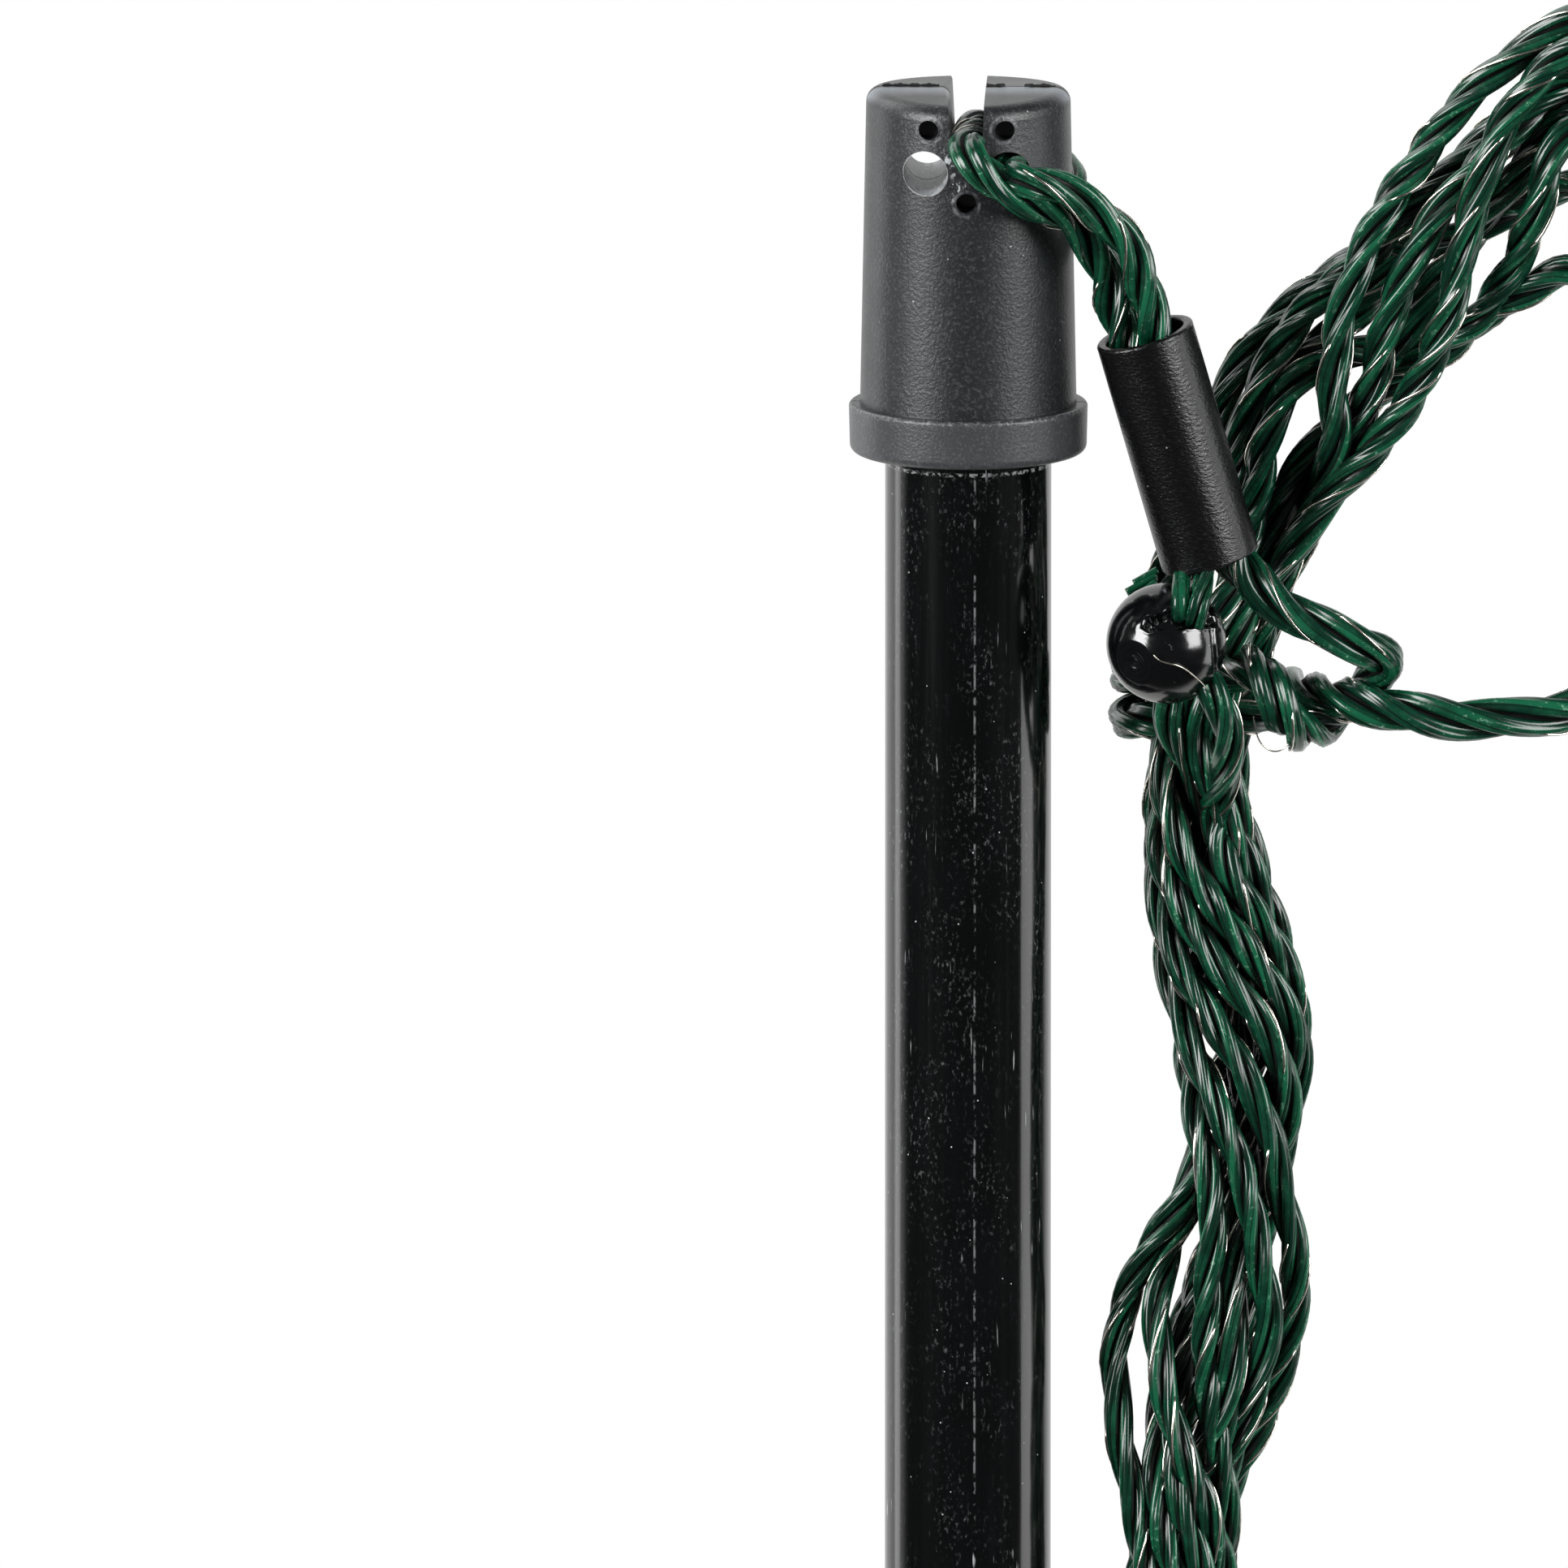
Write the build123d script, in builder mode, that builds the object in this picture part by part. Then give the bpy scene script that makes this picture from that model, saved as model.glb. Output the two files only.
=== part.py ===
"""Electric netting post: tube, swivelling two-part cap, tied twine, sleeve, ball and hank.

Units are millimetres, +Z is up. The origin lies on the post's axis at ground level, the
front of the cap faces -Y and the tied twine leaves towards +X.
"""

from build123d import *
import math
import os

os.makedirs("parts", exist_ok=True)

# ---------------------------------------------------------------- driving dimensions
TUBE_D = 14.0  # post tube, outside
TUBE_WALL = 1.75
TUBE_FOOT_Z = 6.0
TUBE_TOP_Z = 637.0

CAP_FLANGE_Z = 619.0  # underside of the cap's flange
CAP_HEIGHT = 31.1  # flange underside to the ridge of the top
CAP_FLANGE_D = 20.1
CAP_FLANGE_H = 4.2
CAP_BASE_D = 18.2  # body just above the flange
CAP_TOP_D = 17.1  # body at the top
CAP_TOP_SLOPE = 3.0  # degrees that each half of the top falls away from the ridge
CAP_RIM_R = 1.3
PARTING_GAP = 0.2
SLOT_TOP_W = 3.0
SLOT_FLOOR_W = 2.6
SLOT_FLOOR_Z = 644.5
SLOT_LIP_R = 0.9
CORD_BORE_D = 3.75
CORD_BORE_X = 3.45
CORD_BORE_Z = 644.0
PEG_D = 1.6
PEG_HOLE_D = 1.66
PEG_LENGTH = 13.2
PEG_PLACES = ((-3.2, 647.7), (3.2, 647.7), (0.0, 641.6))  # X and Z of each peg

TUBE_CLEARANCE = 0.25  # radial, cap on tube
COLLAR_D = 15.2  # swivel bush collar, trapped between the cap halves
COLLAR_H = 2.0
COLLAR_CLEARANCE = 0.3

SPIKE_D = 6.0
SPIKE_STEM_D = 5.2  # where it is pressed into the foot bush
SPIKE_TIP_Z = -150.0
SPIKE_POINT = 20.0
FOOT_FLANGE_Z = 2.0
FOOT_STEM = 30.0
CLIP_Z = 60.0
CLIP_H = 12.0
CLIP_WALL = 1.8
CLIP_CLEARANCE = 0.06  # radial

CORD_D = 3.2
SLEEVE_D = 8.35
SLEEVE_BORE = 6.7
SLEEVE_LENGTH = 20.5
SLEEVE_CENTRE = Vector(17.65, -3.95, 620.2)
SLEEVE_AXIS = Vector(-0.2703, -0.0996, 0.9577)
FERRULE_D = 6.5
BALL_D = 10.2
BALL_CENTRE = Vector(16.8, -5.0, 603.5)
BALL_GROOVE_H = 3.3  # along the ball's moulding axis, from its centre
BALL_GROOVE_W = 0.4
BALL_GROOVE_DEPTH = 0.4
DIMPLE_R = 1.6
DIMPLE_DEPTH = 0.45
BEAD_BACK_Y = 10.2  # back of the stopper bead, behind the cap
BEAD_D = 4.8
BEAD_R = 0.9

CAP_TOP_Z = CAP_FLANGE_Z + CAP_HEIGHT
TUBE_BORE = TUBE_D - 2 * TUBE_WALL

# ---------------------------------------------------------------- routes of the twine
# Over the slot: sleeve, round the right of the cap to its back, slot, front, sleeve.
TIE_LOOP_ROUTE = [
    (16.3, -3.2, 628.2),
    (14.9, -3.6, 633.3),
    (12.3, 0.9, 636.4),
    (9.6, 5.4, 638.9),
    (8.1, 8.8, 641.2),
    (5.0, 12.3, 643.7),
    (1.6, 12.8, 646.0),
    (0.1, 10.4, 646.5),
    (-0.1, -9.2, 646.4),
    (0.4, -11.2, 644.6),
    (2.0, -11.3, 642.2),
    (5.0, -10.2, 640.2),
    (8.7, -7.6, 638.0),
    (10.9, -5.3, 635.4),
    (12.2, -4.9, 632.4),
    (13.6, -4.7, 627.6),
]
# Through the right bore: bead behind the cap, bore, front, sleeve.
BORE_CORD_ROUTE = [
    (3.45, 9.0, 644.0),
    (3.45, -9.8, 644.0),
    (4.9, -11.6, 643.7),
    (7.5, -11.1, 642.6),
    (10.7, -9.7, 640.5),
    (13.7, -8.4, 637.0),
    (15.1, -7.2, 633.1),
    (16.3, -6.4, 628.2),
]
# From the sleeve into the ball.
BALL_CORD_ROUTE = [
    (18.0, -3.5, 612.8),
    (18.8, -3.3, 609.6),
    (18.3, -4.3, 606.4),
]
# From the sleeve out to the right, round the tight bend, back behind and under the run
# that leaves, up over the front and in behind the ball.
TOP_LINE_START_ROUTE = [
    (21.2, -3.3, 613.6),
    (22.9, -3.2, 609.3),
    (27.4, -5.4, 605.7),
    (32.0, -6.6, 603.5),
    (35.0, -4.9, 601.7),
    (34.4, -1.2, 600.4),
    (32.2, 1.7, 597.7),
    (29.9, 1.2, 595.4),
    (28.1, -2.2, 595.2),
    (26.9, -5.1, 597.0),
    (25.6, -5.2, 599.9),
    (24.2, -2.4, 601.4),
    (22.6, 1.0, 600.0),
]
# From the turns round the hank to the right, then up into the outer loops of the hank.
TOP_LINE_RUN_ROUTE = [
    (24.0, 10.4, 597.4),
    (27.4, 6.9, 598.9),
    (28.6, 1.9, 599.3),
    (32.0, -3.0, 598.9),
    (38.2, -3.7, 596.9),
    (44.9, -3.1, 596.4),
    (51.6, -1.9, 597.2),
    (58.0, 0.3, 600.4),
    (63.2, 2.4, 606.6),
    (66.3, 3.6, 615.0),
    (68.4, 4.2, 624.4),
    (70.3, 4.4, 633.8),
    (70.6, 4.2, 642.8),
    (69.0, 4.2, 649.8),
]
# From the ball into the front of the hank.
BALL_LEAD_ROUTE = [
    (18.9, -4.4, 601.4),
    (20.4, -3.5, 597.6),
    (21.3, -2.0, 593.6),
    (21.2, 1.0, 590.2),
    (20.8, 4.0, 587.6),
]
# The hank's spine: X, Y, Z, then half its width and half its depth there.
HANK_LOWER_STATIONS = [
    (19.4, 8.8, 597.0, 4.4, 5.2),
    (19.5, 7.2, 588.0, 4.7, 5.8),
    (20.1, 5.4, 579.5, 5.7, 6.2),
    (22.6, 4.2, 571.5, 6.5, 6.4),
    (23.2, 3.5, 564.0, 5.6, 6.2),
    (22.9, 3.0, 557.0, 5.0, 6.2),
    (21.3, 3.0, 550.5, 7.0, 6.2),
    (19.8, 3.0, 543.5, 8.3, 6.2),
    (18.5, 3.0, 536.0, 7.4, 6.2),
    (17.8, 3.0, 528.0, 5.3, 6.2),
    (18.2, 3.0, 518.0, 5.4, 6.2),
    (18.6, 3.1, 511.0, 5.2, 6.0),
    (18.8, 3.2, 506.0, 5.0, 5.8),
    (18.8, 3.3, 501.0, 5.2, 6.0),
    (18.8, 3.4, 494.0, 6.6, 6.4),
    (18.6, 3.4, 482.0, 8.0, 6.8),
    (18.5, 3.4, 475.0, 7.0, 5.8),
    (18.4, 3.4, 471.0, 4.0, 2.8),
]
HANK_UPPER_STATIONS = [
    (19.4, 8.8, 597.0, 4.4, 5.2),
    (20.6, 8.8, 603.5, 5.4, 5.0),
    (21.6, 8.6, 610.0, 6.4, 4.7),
    (25.6, 7.8, 618.0, 7.0, 4.8),
    (30.6, 6.6, 624.4, 7.4, 5.0),
    (36.0, 5.4, 630.4, 7.0, 5.0),
    (39.4, 4.8, 635.2, 7.6, 5.0),
    (43.6, 4.4, 639.4, 8.8, 5.2),
    (49.0, 4.2, 643.0, 10.0, 5.2),
    (56.0, 4.2, 646.4, 10.4, 5.0),
    (63.0, 4.2, 649.4, 9.4, 4.8),
    (68.0, 4.2, 651.5, 7.4, 4.2),
    (70.8, 4.2, 652.7, 4.4, 2.8),
]
WRAP_CENTRE = (19.5, 8.9, 596.9)
WRAP_OUTER = (8.0, 8.8)  # half axes along X and Y
WRAP_INNER = (4.9, 5.7)
WRAP_HEIGHT = 7.4
TIE_STATION = 12  # the station of the lower hank that the tie holds
TIE_HEIGHT = 3.6
TIE_WALL = 1.3


def save(name, builder):
    """Labels a finished piece and writes its STEP."""
    builder.part.label = name
    export_step(builder.part, f"parts/{name}.step")


def arc_radii(points):
    """Radius of the arc at each inner point of a route, as large as its two runs allow."""
    radii = []
    for before, corner, after in zip(points, points[1:], points[2:]):
        run_in = Vector(*corner) - Vector(*before)
        run_out = Vector(*after) - Vector(*corner)
        half_turn = math.radians(run_in.get_angle(run_out) / 2)
        radii.append(0.45 * min(run_in.length, run_out.length) / math.tan(half_turn))
    return radii


def twine(name, points):
    """Builds one stretch of twine along its route and prints its radii and its volume."""
    radii = arc_radii(points)
    with BuildPart() as tube:
        with BuildLine() as path:
            FilletPolyline(*points, radius=radii)
        start = Plane(origin=path.line @ 0, z_dir=path.line % 0)
        with BuildSketch(start):
            Circle(CORD_D / 2)
        sweep()
    length = path.wires()[0].length
    expected = math.pi * (CORD_D / 2) ** 2 * length
    print(f"{name}: length {length:.1f}, radii {[round(r, 1) for r in radii]}, "
          f"volume {tube.part.volume:.1f} of {expected:.1f}")
    save(name, tube)
    return tube


def hank(name, stations):
    """Lofts the closed outer shape of the hank through ellipses across its spine."""
    centres = [Vector(*station[:3]) for station in stations]
    with BuildPart() as bundle:
        for index, station in enumerate(stations):
            before = centres[max(index - 1, 0)]
            after = centres[min(index + 1, len(centres) - 1)]
            along = (after - before).normalized()
            across = Vector(0, 1, 0).cross(along)
            with BuildSketch(Plane(centres[index], x_dir=across, z_dir=along)):
                Ellipse(station[3], station[4])
        loft(ruled=True)
    print(f"{name}: volume {bundle.part.volume:.0f}")
    save(name, bundle)
    return bundle


# ---------------------------------------------------------------- post
with BuildPart() as post_tube:
    with BuildSketch(Plane.XY.offset(TUBE_FOOT_Z)):
        Circle(TUBE_D / 2)
        Circle(TUBE_BORE / 2, mode=Mode.SUBTRACT)
    extrude(amount=TUBE_TOP_Z - TUBE_FOOT_Z)
    top_rim = post_tube.edges().group_by(Axis.Z)[-1].sort_by(SortBy.LENGTH)[-1]
    chamfer(top_rim, 0.4)
save("post_tube", post_tube)

with BuildPart() as swivel_bush:
    with BuildSketch(Plane.XY.offset(TUBE_TOP_Z - 12)):
        Circle(TUBE_BORE / 2 - 0.02)
    extrude(amount=12)
    with BuildSketch(Plane.XY.offset(TUBE_TOP_Z)):
        Circle(COLLAR_D / 2)
    extrude(amount=COLLAR_H)
    Hole(radius=2.5)
    chamfer(swivel_bush.edges().group_by(Axis.Z)[0].sort_by(SortBy.LENGTH)[-1], 0.6)
    fillet(swivel_bush.edges().group_by(Axis.Z)[-1].sort_by(SortBy.LENGTH)[-1], 0.4)
save("swivel_bush", swivel_bush)

with BuildPart() as foot_bush:
    with BuildSketch(Plane.XY.offset(FOOT_FLANGE_Z)):
        Circle(TUBE_D / 2)
    extrude(amount=TUBE_FOOT_Z - FOOT_FLANGE_Z)
    fillet(foot_bush.edges().group_by(Axis.Z)[0], 0.8)
    with BuildSketch(Plane.XY.offset(TUBE_FOOT_Z)):
        Circle(TUBE_BORE / 2 - 0.02)
    extrude(amount=FOOT_STEM)
    Hole(radius=SPIKE_STEM_D / 2)
    chamfer(foot_bush.edges().group_by(Axis.Z)[-1].sort_by(SortBy.LENGTH)[-1], 0.6)
save("foot_bush", foot_bush)

with BuildPart() as ground_spike:
    with BuildSketch(Plane.XZ):
        with BuildLine():
            Polyline(
                (0, SPIKE_TIP_Z),
                (0.6, SPIKE_TIP_Z + 0.4),
                (SPIKE_D / 2, SPIKE_TIP_Z + SPIKE_POINT),
                (SPIKE_D / 2, 0),
                (SPIKE_STEM_D / 2, 0),
                (SPIKE_STEM_D / 2, TUBE_FOOT_Z + FOOT_STEM - 0.5),
                (SPIKE_STEM_D / 2 - 0.5, TUBE_FOOT_Z + FOOT_STEM),
                (0, TUBE_FOOT_Z + FOOT_STEM),
                close=True,
            )
        make_face()
    revolve(axis=Axis.Z)
save("ground_spike", ground_spike)

clip_outer = TUBE_D / 2 + CLIP_WALL
with BuildPart() as bottom_clip:
    with BuildSketch(Plane.XY.offset(CLIP_Z)):
        Circle(clip_outer)
        with Locations((clip_outer + 1.5, 0)):
            RectangleRounded(9, 7, 2)
        Circle(TUBE_D / 2 + CLIP_CLEARANCE, mode=Mode.SUBTRACT)
    extrude(amount=CLIP_H)
    fillet(bottom_clip.edges().group_by(Axis.Z)[0], 0.6)
    fillet(bottom_clip.edges().group_by(Axis.Z)[-1], 0.6)
    with BuildSketch(Plane.XZ):
        with Locations((clip_outer + 2.6, CLIP_Z + CLIP_H / 2)):
            Circle(CORD_BORE_D / 2)
    extrude(amount=CLIP_H, both=True, mode=Mode.SUBTRACT)
save("bottom_clip", bottom_clip)


# ---------------------------------------------------------------- cap
def cap_half(side):
    """Builds one half shell of the cap; side is -1 for the front and +1 for the rear."""
    flange_top = CAP_FLANGE_Z + CAP_FLANGE_H
    tube_hole = TUBE_D / 2 + TUBE_CLEARANCE
    groove = COLLAR_D / 2 + COLLAR_CLEARANCE
    groove_low = TUBE_TOP_Z - TUBE_CLEARANCE
    groove_high = TUBE_TOP_Z + COLLAR_H + COLLAR_CLEARANCE
    blank_top = CAP_TOP_Z + 1
    tilt = math.radians(CAP_TOP_SLOPE)
    with BuildPart() as half:
        with BuildSketch(Plane.XZ):
            with BuildLine():
                Polyline(
                    (tube_hole, CAP_FLANGE_Z),
                    (CAP_FLANGE_D / 2 - 0.1, CAP_FLANGE_Z),
                    (CAP_FLANGE_D / 2, flange_top),
                    (CAP_BASE_D / 2, flange_top),
                    (CAP_TOP_D / 2, blank_top),
                    (0, blank_top),
                    (0, groove_high),
                    (groove, groove_high),
                    (groove, groove_low),
                    (tube_hole, groove_low),
                    close=True,
                )
            make_face()
        revolve(axis=Axis.Z)
        split(bisect_by=Plane((0, side * PARTING_GAP / 2, 0), z_dir=(0, side, 0)))
        roof = Plane((0, 0, CAP_TOP_Z), z_dir=(0, side * math.sin(tilt), math.cos(tilt)))
        split(bisect_by=roof, keep=Keep.BOTTOM)

        rounded = half.edges().filter_by(GeomType.LINE, reverse=True)
        fillet(rounded.sort_by(Axis.Z)[-1], CAP_RIM_R)
        flange_arcs = half.edges().filter_by(GeomType.CIRCLE).group_by(Axis.Z)
        fillet(flange_arcs[0].sort_by(SortBy.LENGTH)[-1], 0.7)
        top_arcs = half.edges().filter_by(GeomType.CIRCLE).filter_by_position(
            Axis.Z, flange_top - 0.01, flange_top + 0.01)
        fillet(top_arcs.sort_by(SortBy.LENGTH)[-1], 0.35)

        lip_x = -SLOT_TOP_W / 2
        lip_z = CAP_TOP_Z - SLOT_LIP_R
        with BuildSketch(Plane.XZ):
            with BuildLine():
                RadiusArc((lip_x, lip_z), (lip_x - SLOT_LIP_R, CAP_TOP_Z), -SLOT_LIP_R)
                Polyline(
                    (lip_x - SLOT_LIP_R, CAP_TOP_Z),
                    (lip_x - SLOT_LIP_R, blank_top),
                    (SLOT_TOP_W / 2, blank_top),
                    (SLOT_FLOOR_W / 2, SLOT_FLOOR_Z + 0.8),
                    (SLOT_FLOOR_W / 2 - 0.5, SLOT_FLOOR_Z),
                    (-SLOT_FLOOR_W / 2 + 0.5, SLOT_FLOOR_Z),
                    (-SLOT_FLOOR_W / 2, SLOT_FLOOR_Z + 0.8),
                    (lip_x, lip_z),
                )
            make_face()
            with Locations((-CORD_BORE_X, CORD_BORE_Z), (CORD_BORE_X, CORD_BORE_Z)):
                Circle(CORD_BORE_D / 2)
            with Locations(PEG_PLACES):
                Circle(PEG_HOLE_D / 2)
        extrude(amount=CAP_FLANGE_D, both=True, mode=Mode.SUBTRACT)
    return half


cap_front_shell = cap_half(-1)
save("cap_front_shell", cap_front_shell)
cap_rear_shell = cap_half(1)
save("cap_rear_shell", cap_rear_shell)

with BuildPart() as cap_pegs:
    with BuildSketch(Plane.XZ):
        with Locations(PEG_PLACES):
            Circle(PEG_D / 2)
    extrude(amount=PEG_LENGTH / 2, both=True)
save("cap_pegs", cap_pegs)

# ---------------------------------------------------------------- sleeve, ferrule and ball
sleeve_end = SLEEVE_CENTRE - SLEEVE_AXIS * (SLEEVE_LENGTH / 2)
sleeve_plane = Plane(sleeve_end, x_dir=(1, 0, 0), z_dir=SLEEVE_AXIS)
with BuildPart() as cord_sleeve:
    with BuildSketch(sleeve_plane):
        Circle(SLEEVE_D / 2)
        Circle(SLEEVE_BORE / 2, mode=Mode.SUBTRACT)
    extrude(amount=SLEEVE_LENGTH)
    fillet(cord_sleeve.edges().filter_by(GeomType.CIRCLE), 0.25)
save("cord_sleeve", cord_sleeve)

with BuildPart() as sleeve_ferrule:
    with BuildSketch(sleeve_plane.offset(1.2)):
        Circle(FERRULE_D / 2)
    extrude(amount=SLEEVE_LENGTH - 2.4)
    chamfer(sleeve_ferrule.edges().filter_by(GeomType.CIRCLE), 0.3)
save("sleeve_ferrule", sleeve_ferrule)

ball_r = BALL_D / 2
ball_axis = Vector(0.93, -0.3, 0.2).normalized()
dimple_h = -math.sqrt(ball_r**2 - DIMPLE_R**2)
groove_r = math.sqrt(ball_r**2 - BALL_GROOVE_H**2)
collar_h = BALL_GROOVE_H + BALL_GROOVE_W
collar_r = math.sqrt(ball_r**2 - collar_h**2)
ball_mouth = Vector(*BALL_CORD_ROUTE[-1])
cord_in = Vector(*BALL_CORD_ROUTE[-2]) - ball_mouth
with BuildPart() as junction_ball:
    with BuildSketch(Plane(BALL_CENTRE, z_dir=ball_axis.cross(Vector(0, 0, 1)), x_dir=ball_axis)):
        with BuildLine():
            Polyline((-ball_r + DIMPLE_DEPTH, 0), (-ball_r + DIMPLE_DEPTH, DIMPLE_R / 2),
                     (dimple_h, DIMPLE_R))
            ThreePointArc((dimple_h, DIMPLE_R), (0, ball_r), (BALL_GROOVE_H, groove_r))
            Polyline((BALL_GROOVE_H, groove_r), (BALL_GROOVE_H, collar_r - BALL_GROOVE_DEPTH),
                     (collar_h, collar_r - BALL_GROOVE_DEPTH), (collar_h, collar_r))
            RadiusArc((collar_h, collar_r), (ball_r, 0), ball_r)
            Line((ball_r, 0), (-ball_r + DIMPLE_DEPTH, 0))
        make_face()
    revolve(axis=Axis(BALL_CENTRE, ball_axis))
    with BuildSketch(Plane(ball_mouth, z_dir=cord_in)):
        Circle(CORD_D / 2 + 0.3)
    extrude(amount=ball_r, mode=Mode.SUBTRACT)
save("junction_ball", junction_ball)

with BuildPart() as stopper_bead:
    with BuildSketch(Plane.XZ.offset(-BEAD_BACK_Y)):
        with Locations((CORD_BORE_X, CORD_BORE_Z)):
            Circle(BEAD_D / 2)
    extrude(amount=BEAD_BACK_Y - CORD_BORE_X)
    fillet(stopper_bead.edges().sort_by(Axis.Y)[-1], BEAD_R)
    with BuildSketch(Plane.XY.offset(CORD_BORE_Z - BEAD_D)):
        Circle(CAP_BASE_D / 2 - 0.35)
    extrude(amount=2 * BEAD_D, mode=Mode.SUBTRACT)
save("stopper_bead", stopper_bead)

# ---------------------------------------------------------------- twine
twine("tie_loop", TIE_LOOP_ROUTE)
twine("bore_cord", BORE_CORD_ROUTE)
twine("ball_cord", BALL_CORD_ROUTE)
twine("top_line_start", TOP_LINE_START_ROUTE)
twine("top_line_run", TOP_LINE_RUN_ROUTE)
twine("ball_lead", BALL_LEAD_ROUTE)

with BuildPart() as hank_wrap:
    with BuildSketch(Plane(WRAP_CENTRE).offset(-WRAP_HEIGHT / 2)):
        Ellipse(*WRAP_OUTER)
        Ellipse(*WRAP_INNER, mode=Mode.SUBTRACT)
    extrude(amount=WRAP_HEIGHT)
    fillet(hank_wrap.edges().sort_by(SortBy.LENGTH)[-2:], 1.4)
save("hank_wrap", hank_wrap)

hank_lower = hank("hank_lower", HANK_LOWER_STATIONS)
hank_upper = hank("hank_upper", HANK_UPPER_STATIONS)

tie_x, tie_y, tie_z, tie_half_width, tie_half_depth = HANK_LOWER_STATIONS[TIE_STATION]
with BuildPart() as hank_tie:
    with BuildSketch(Plane((tie_x, tie_y, tie_z - TIE_HEIGHT / 2))):
        Ellipse(tie_half_width + TIE_WALL, tie_half_depth + TIE_WALL)
        with Locations((tie_half_width + 1.2, 0)):
            RectangleRounded(4.6, 4.2, 0.8)
        Ellipse(tie_half_width + 0.3, tie_half_depth + 0.3, mode=Mode.SUBTRACT)
    extrude(amount=TIE_HEIGHT)
save("hank_tie", hank_tie)
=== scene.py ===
"""The top of an electric netting post: a black tube under a charcoal cap, and its green conductive twine."""

import logging
import math
from dataclasses import dataclass, field
from enum import Enum

import bpy
import numpy as np
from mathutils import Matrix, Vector
from mathutils.kdtree import KDTree


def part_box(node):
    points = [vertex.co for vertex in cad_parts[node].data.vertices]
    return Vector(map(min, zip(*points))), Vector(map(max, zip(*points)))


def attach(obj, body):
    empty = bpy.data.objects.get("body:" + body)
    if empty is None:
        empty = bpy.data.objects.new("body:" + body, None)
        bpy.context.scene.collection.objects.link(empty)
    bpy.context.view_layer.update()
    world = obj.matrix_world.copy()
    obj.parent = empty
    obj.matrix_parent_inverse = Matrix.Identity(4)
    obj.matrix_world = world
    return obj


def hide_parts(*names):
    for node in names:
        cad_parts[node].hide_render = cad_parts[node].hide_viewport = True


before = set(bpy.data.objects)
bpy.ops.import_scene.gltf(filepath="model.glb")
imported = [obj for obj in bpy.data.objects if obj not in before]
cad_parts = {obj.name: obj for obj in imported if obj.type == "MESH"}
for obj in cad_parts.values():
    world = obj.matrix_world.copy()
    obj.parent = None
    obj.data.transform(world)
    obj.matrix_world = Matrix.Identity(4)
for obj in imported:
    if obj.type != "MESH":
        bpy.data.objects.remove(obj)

logging.basicConfig(level=logging.INFO, format="%(name)s: %(message)s")
LOG = logging.getLogger("netting_post")

Point = tuple[float, float, float]
Route = tuple[Point, ...]
Socket = bpy.types.NodeSocket
Layer = tuple[Socket, float, float]
Patterns = tuple[Socket, Socket, Socket]

MM = 0.001
TWINE_DIAMETER = 0.0032
STRAND_COUNT = 3
FAR_AWAY = 100.0

# The middle of each cord, in metres, from where it starts to where it goes in.
BALL_CORD_ROUTE = (
    (0.0193, -0.008, 0.6056), (0.0194, -0.0091, 0.6067), (0.0196, -0.0089, 0.6079),
    (0.0199, -0.0074, 0.6089), (0.0201, -0.0057, 0.6098), (0.0197, -0.0045, 0.6112),
    (0.0186, -0.0039, 0.6133),
)
TIE_LOOP_ROUTE = (
    (0.0136, -0.0047, 0.6276), (0.0124, -0.0049, 0.6326), (0.0113, -0.0055, 0.6362),
    (0.0091, -0.008, 0.6402), (0.0056, -0.0102, 0.6421), (0.0024, -0.0113, 0.6438),
    (0.0006, -0.0113, 0.6458), (-0.0001, -0.0092, 0.6465), (0.0001, -0.0066, 0.6459),
    (0.0003, 0.0066, 0.6454), (0.0004, 0.0096, 0.6447), (0.0018, 0.0124, 0.644),
    (0.005, 0.0123, 0.6437), (0.0081, 0.0088, 0.6412), (0.0096, 0.0054, 0.6389),
    (0.0123, 0.0009, 0.6364), (0.0149, -0.0036, 0.6333), (0.0163, -0.0032, 0.6282),
)
TOP_LINE_START_ROUTE = (
    (0.0212, -0.0033, 0.6136), (0.0229, -0.0032, 0.6093), (0.0275, -0.0054, 0.6059),
    (0.0322, -0.0066, 0.6041), (0.0354, -0.0049, 0.6025), (0.035, -0.0012, 0.6007),
    (0.0322, 0.0017, 0.5977), (0.0299, 0.0012, 0.5954), (0.0281, -0.0022, 0.5952),
    (0.0269, -0.0051, 0.597), (0.0256, -0.0052, 0.5999), (0.0242, -0.0024, 0.6014),
    (0.0226, 0.001, 0.6),
)
TOP_LINE_RUN_ROUTE = (
    (0.0268, 0.0066, 0.5976), (0.029, 0.0021, 0.598), (0.0323, -0.0026, 0.5983),
    (0.0382, -0.0037, 0.5971), (0.0449, -0.0031, 0.5966), (0.0516, -0.0019, 0.5974),
    (0.058, 0.0003, 0.6004), (0.0632, 0.0024, 0.6066), (0.0663, 0.0036, 0.615),
    (0.0684, 0.0042, 0.6244), (0.0703, 0.0044, 0.6338), (0.0706, 0.0042, 0.6428),
    (0.069, 0.0042, 0.6498),
)
BALL_LEAD_ROUTE = (
    (0.0194, -0.0056, 0.6014), (0.021, -0.0066, 0.5996), (0.0219, -0.0059, 0.5966),
    (0.022, -0.0038, 0.5934), (0.0213, 0.0, 0.5904), (0.0208, 0.004, 0.5876),
)
BORE_CORD_ROUTE = (
    (0.00345, 0.009, 0.644), (0.00345, -0.0098, 0.6441), (0.0047, -0.0117, 0.6443),
    (0.0076, -0.0112, 0.6435), (0.0108, -0.0098, 0.6416), (0.0138, -0.0084, 0.6381),
    (0.0152, -0.0072, 0.6337), (0.0163, -0.0064, 0.6282),
)
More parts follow.
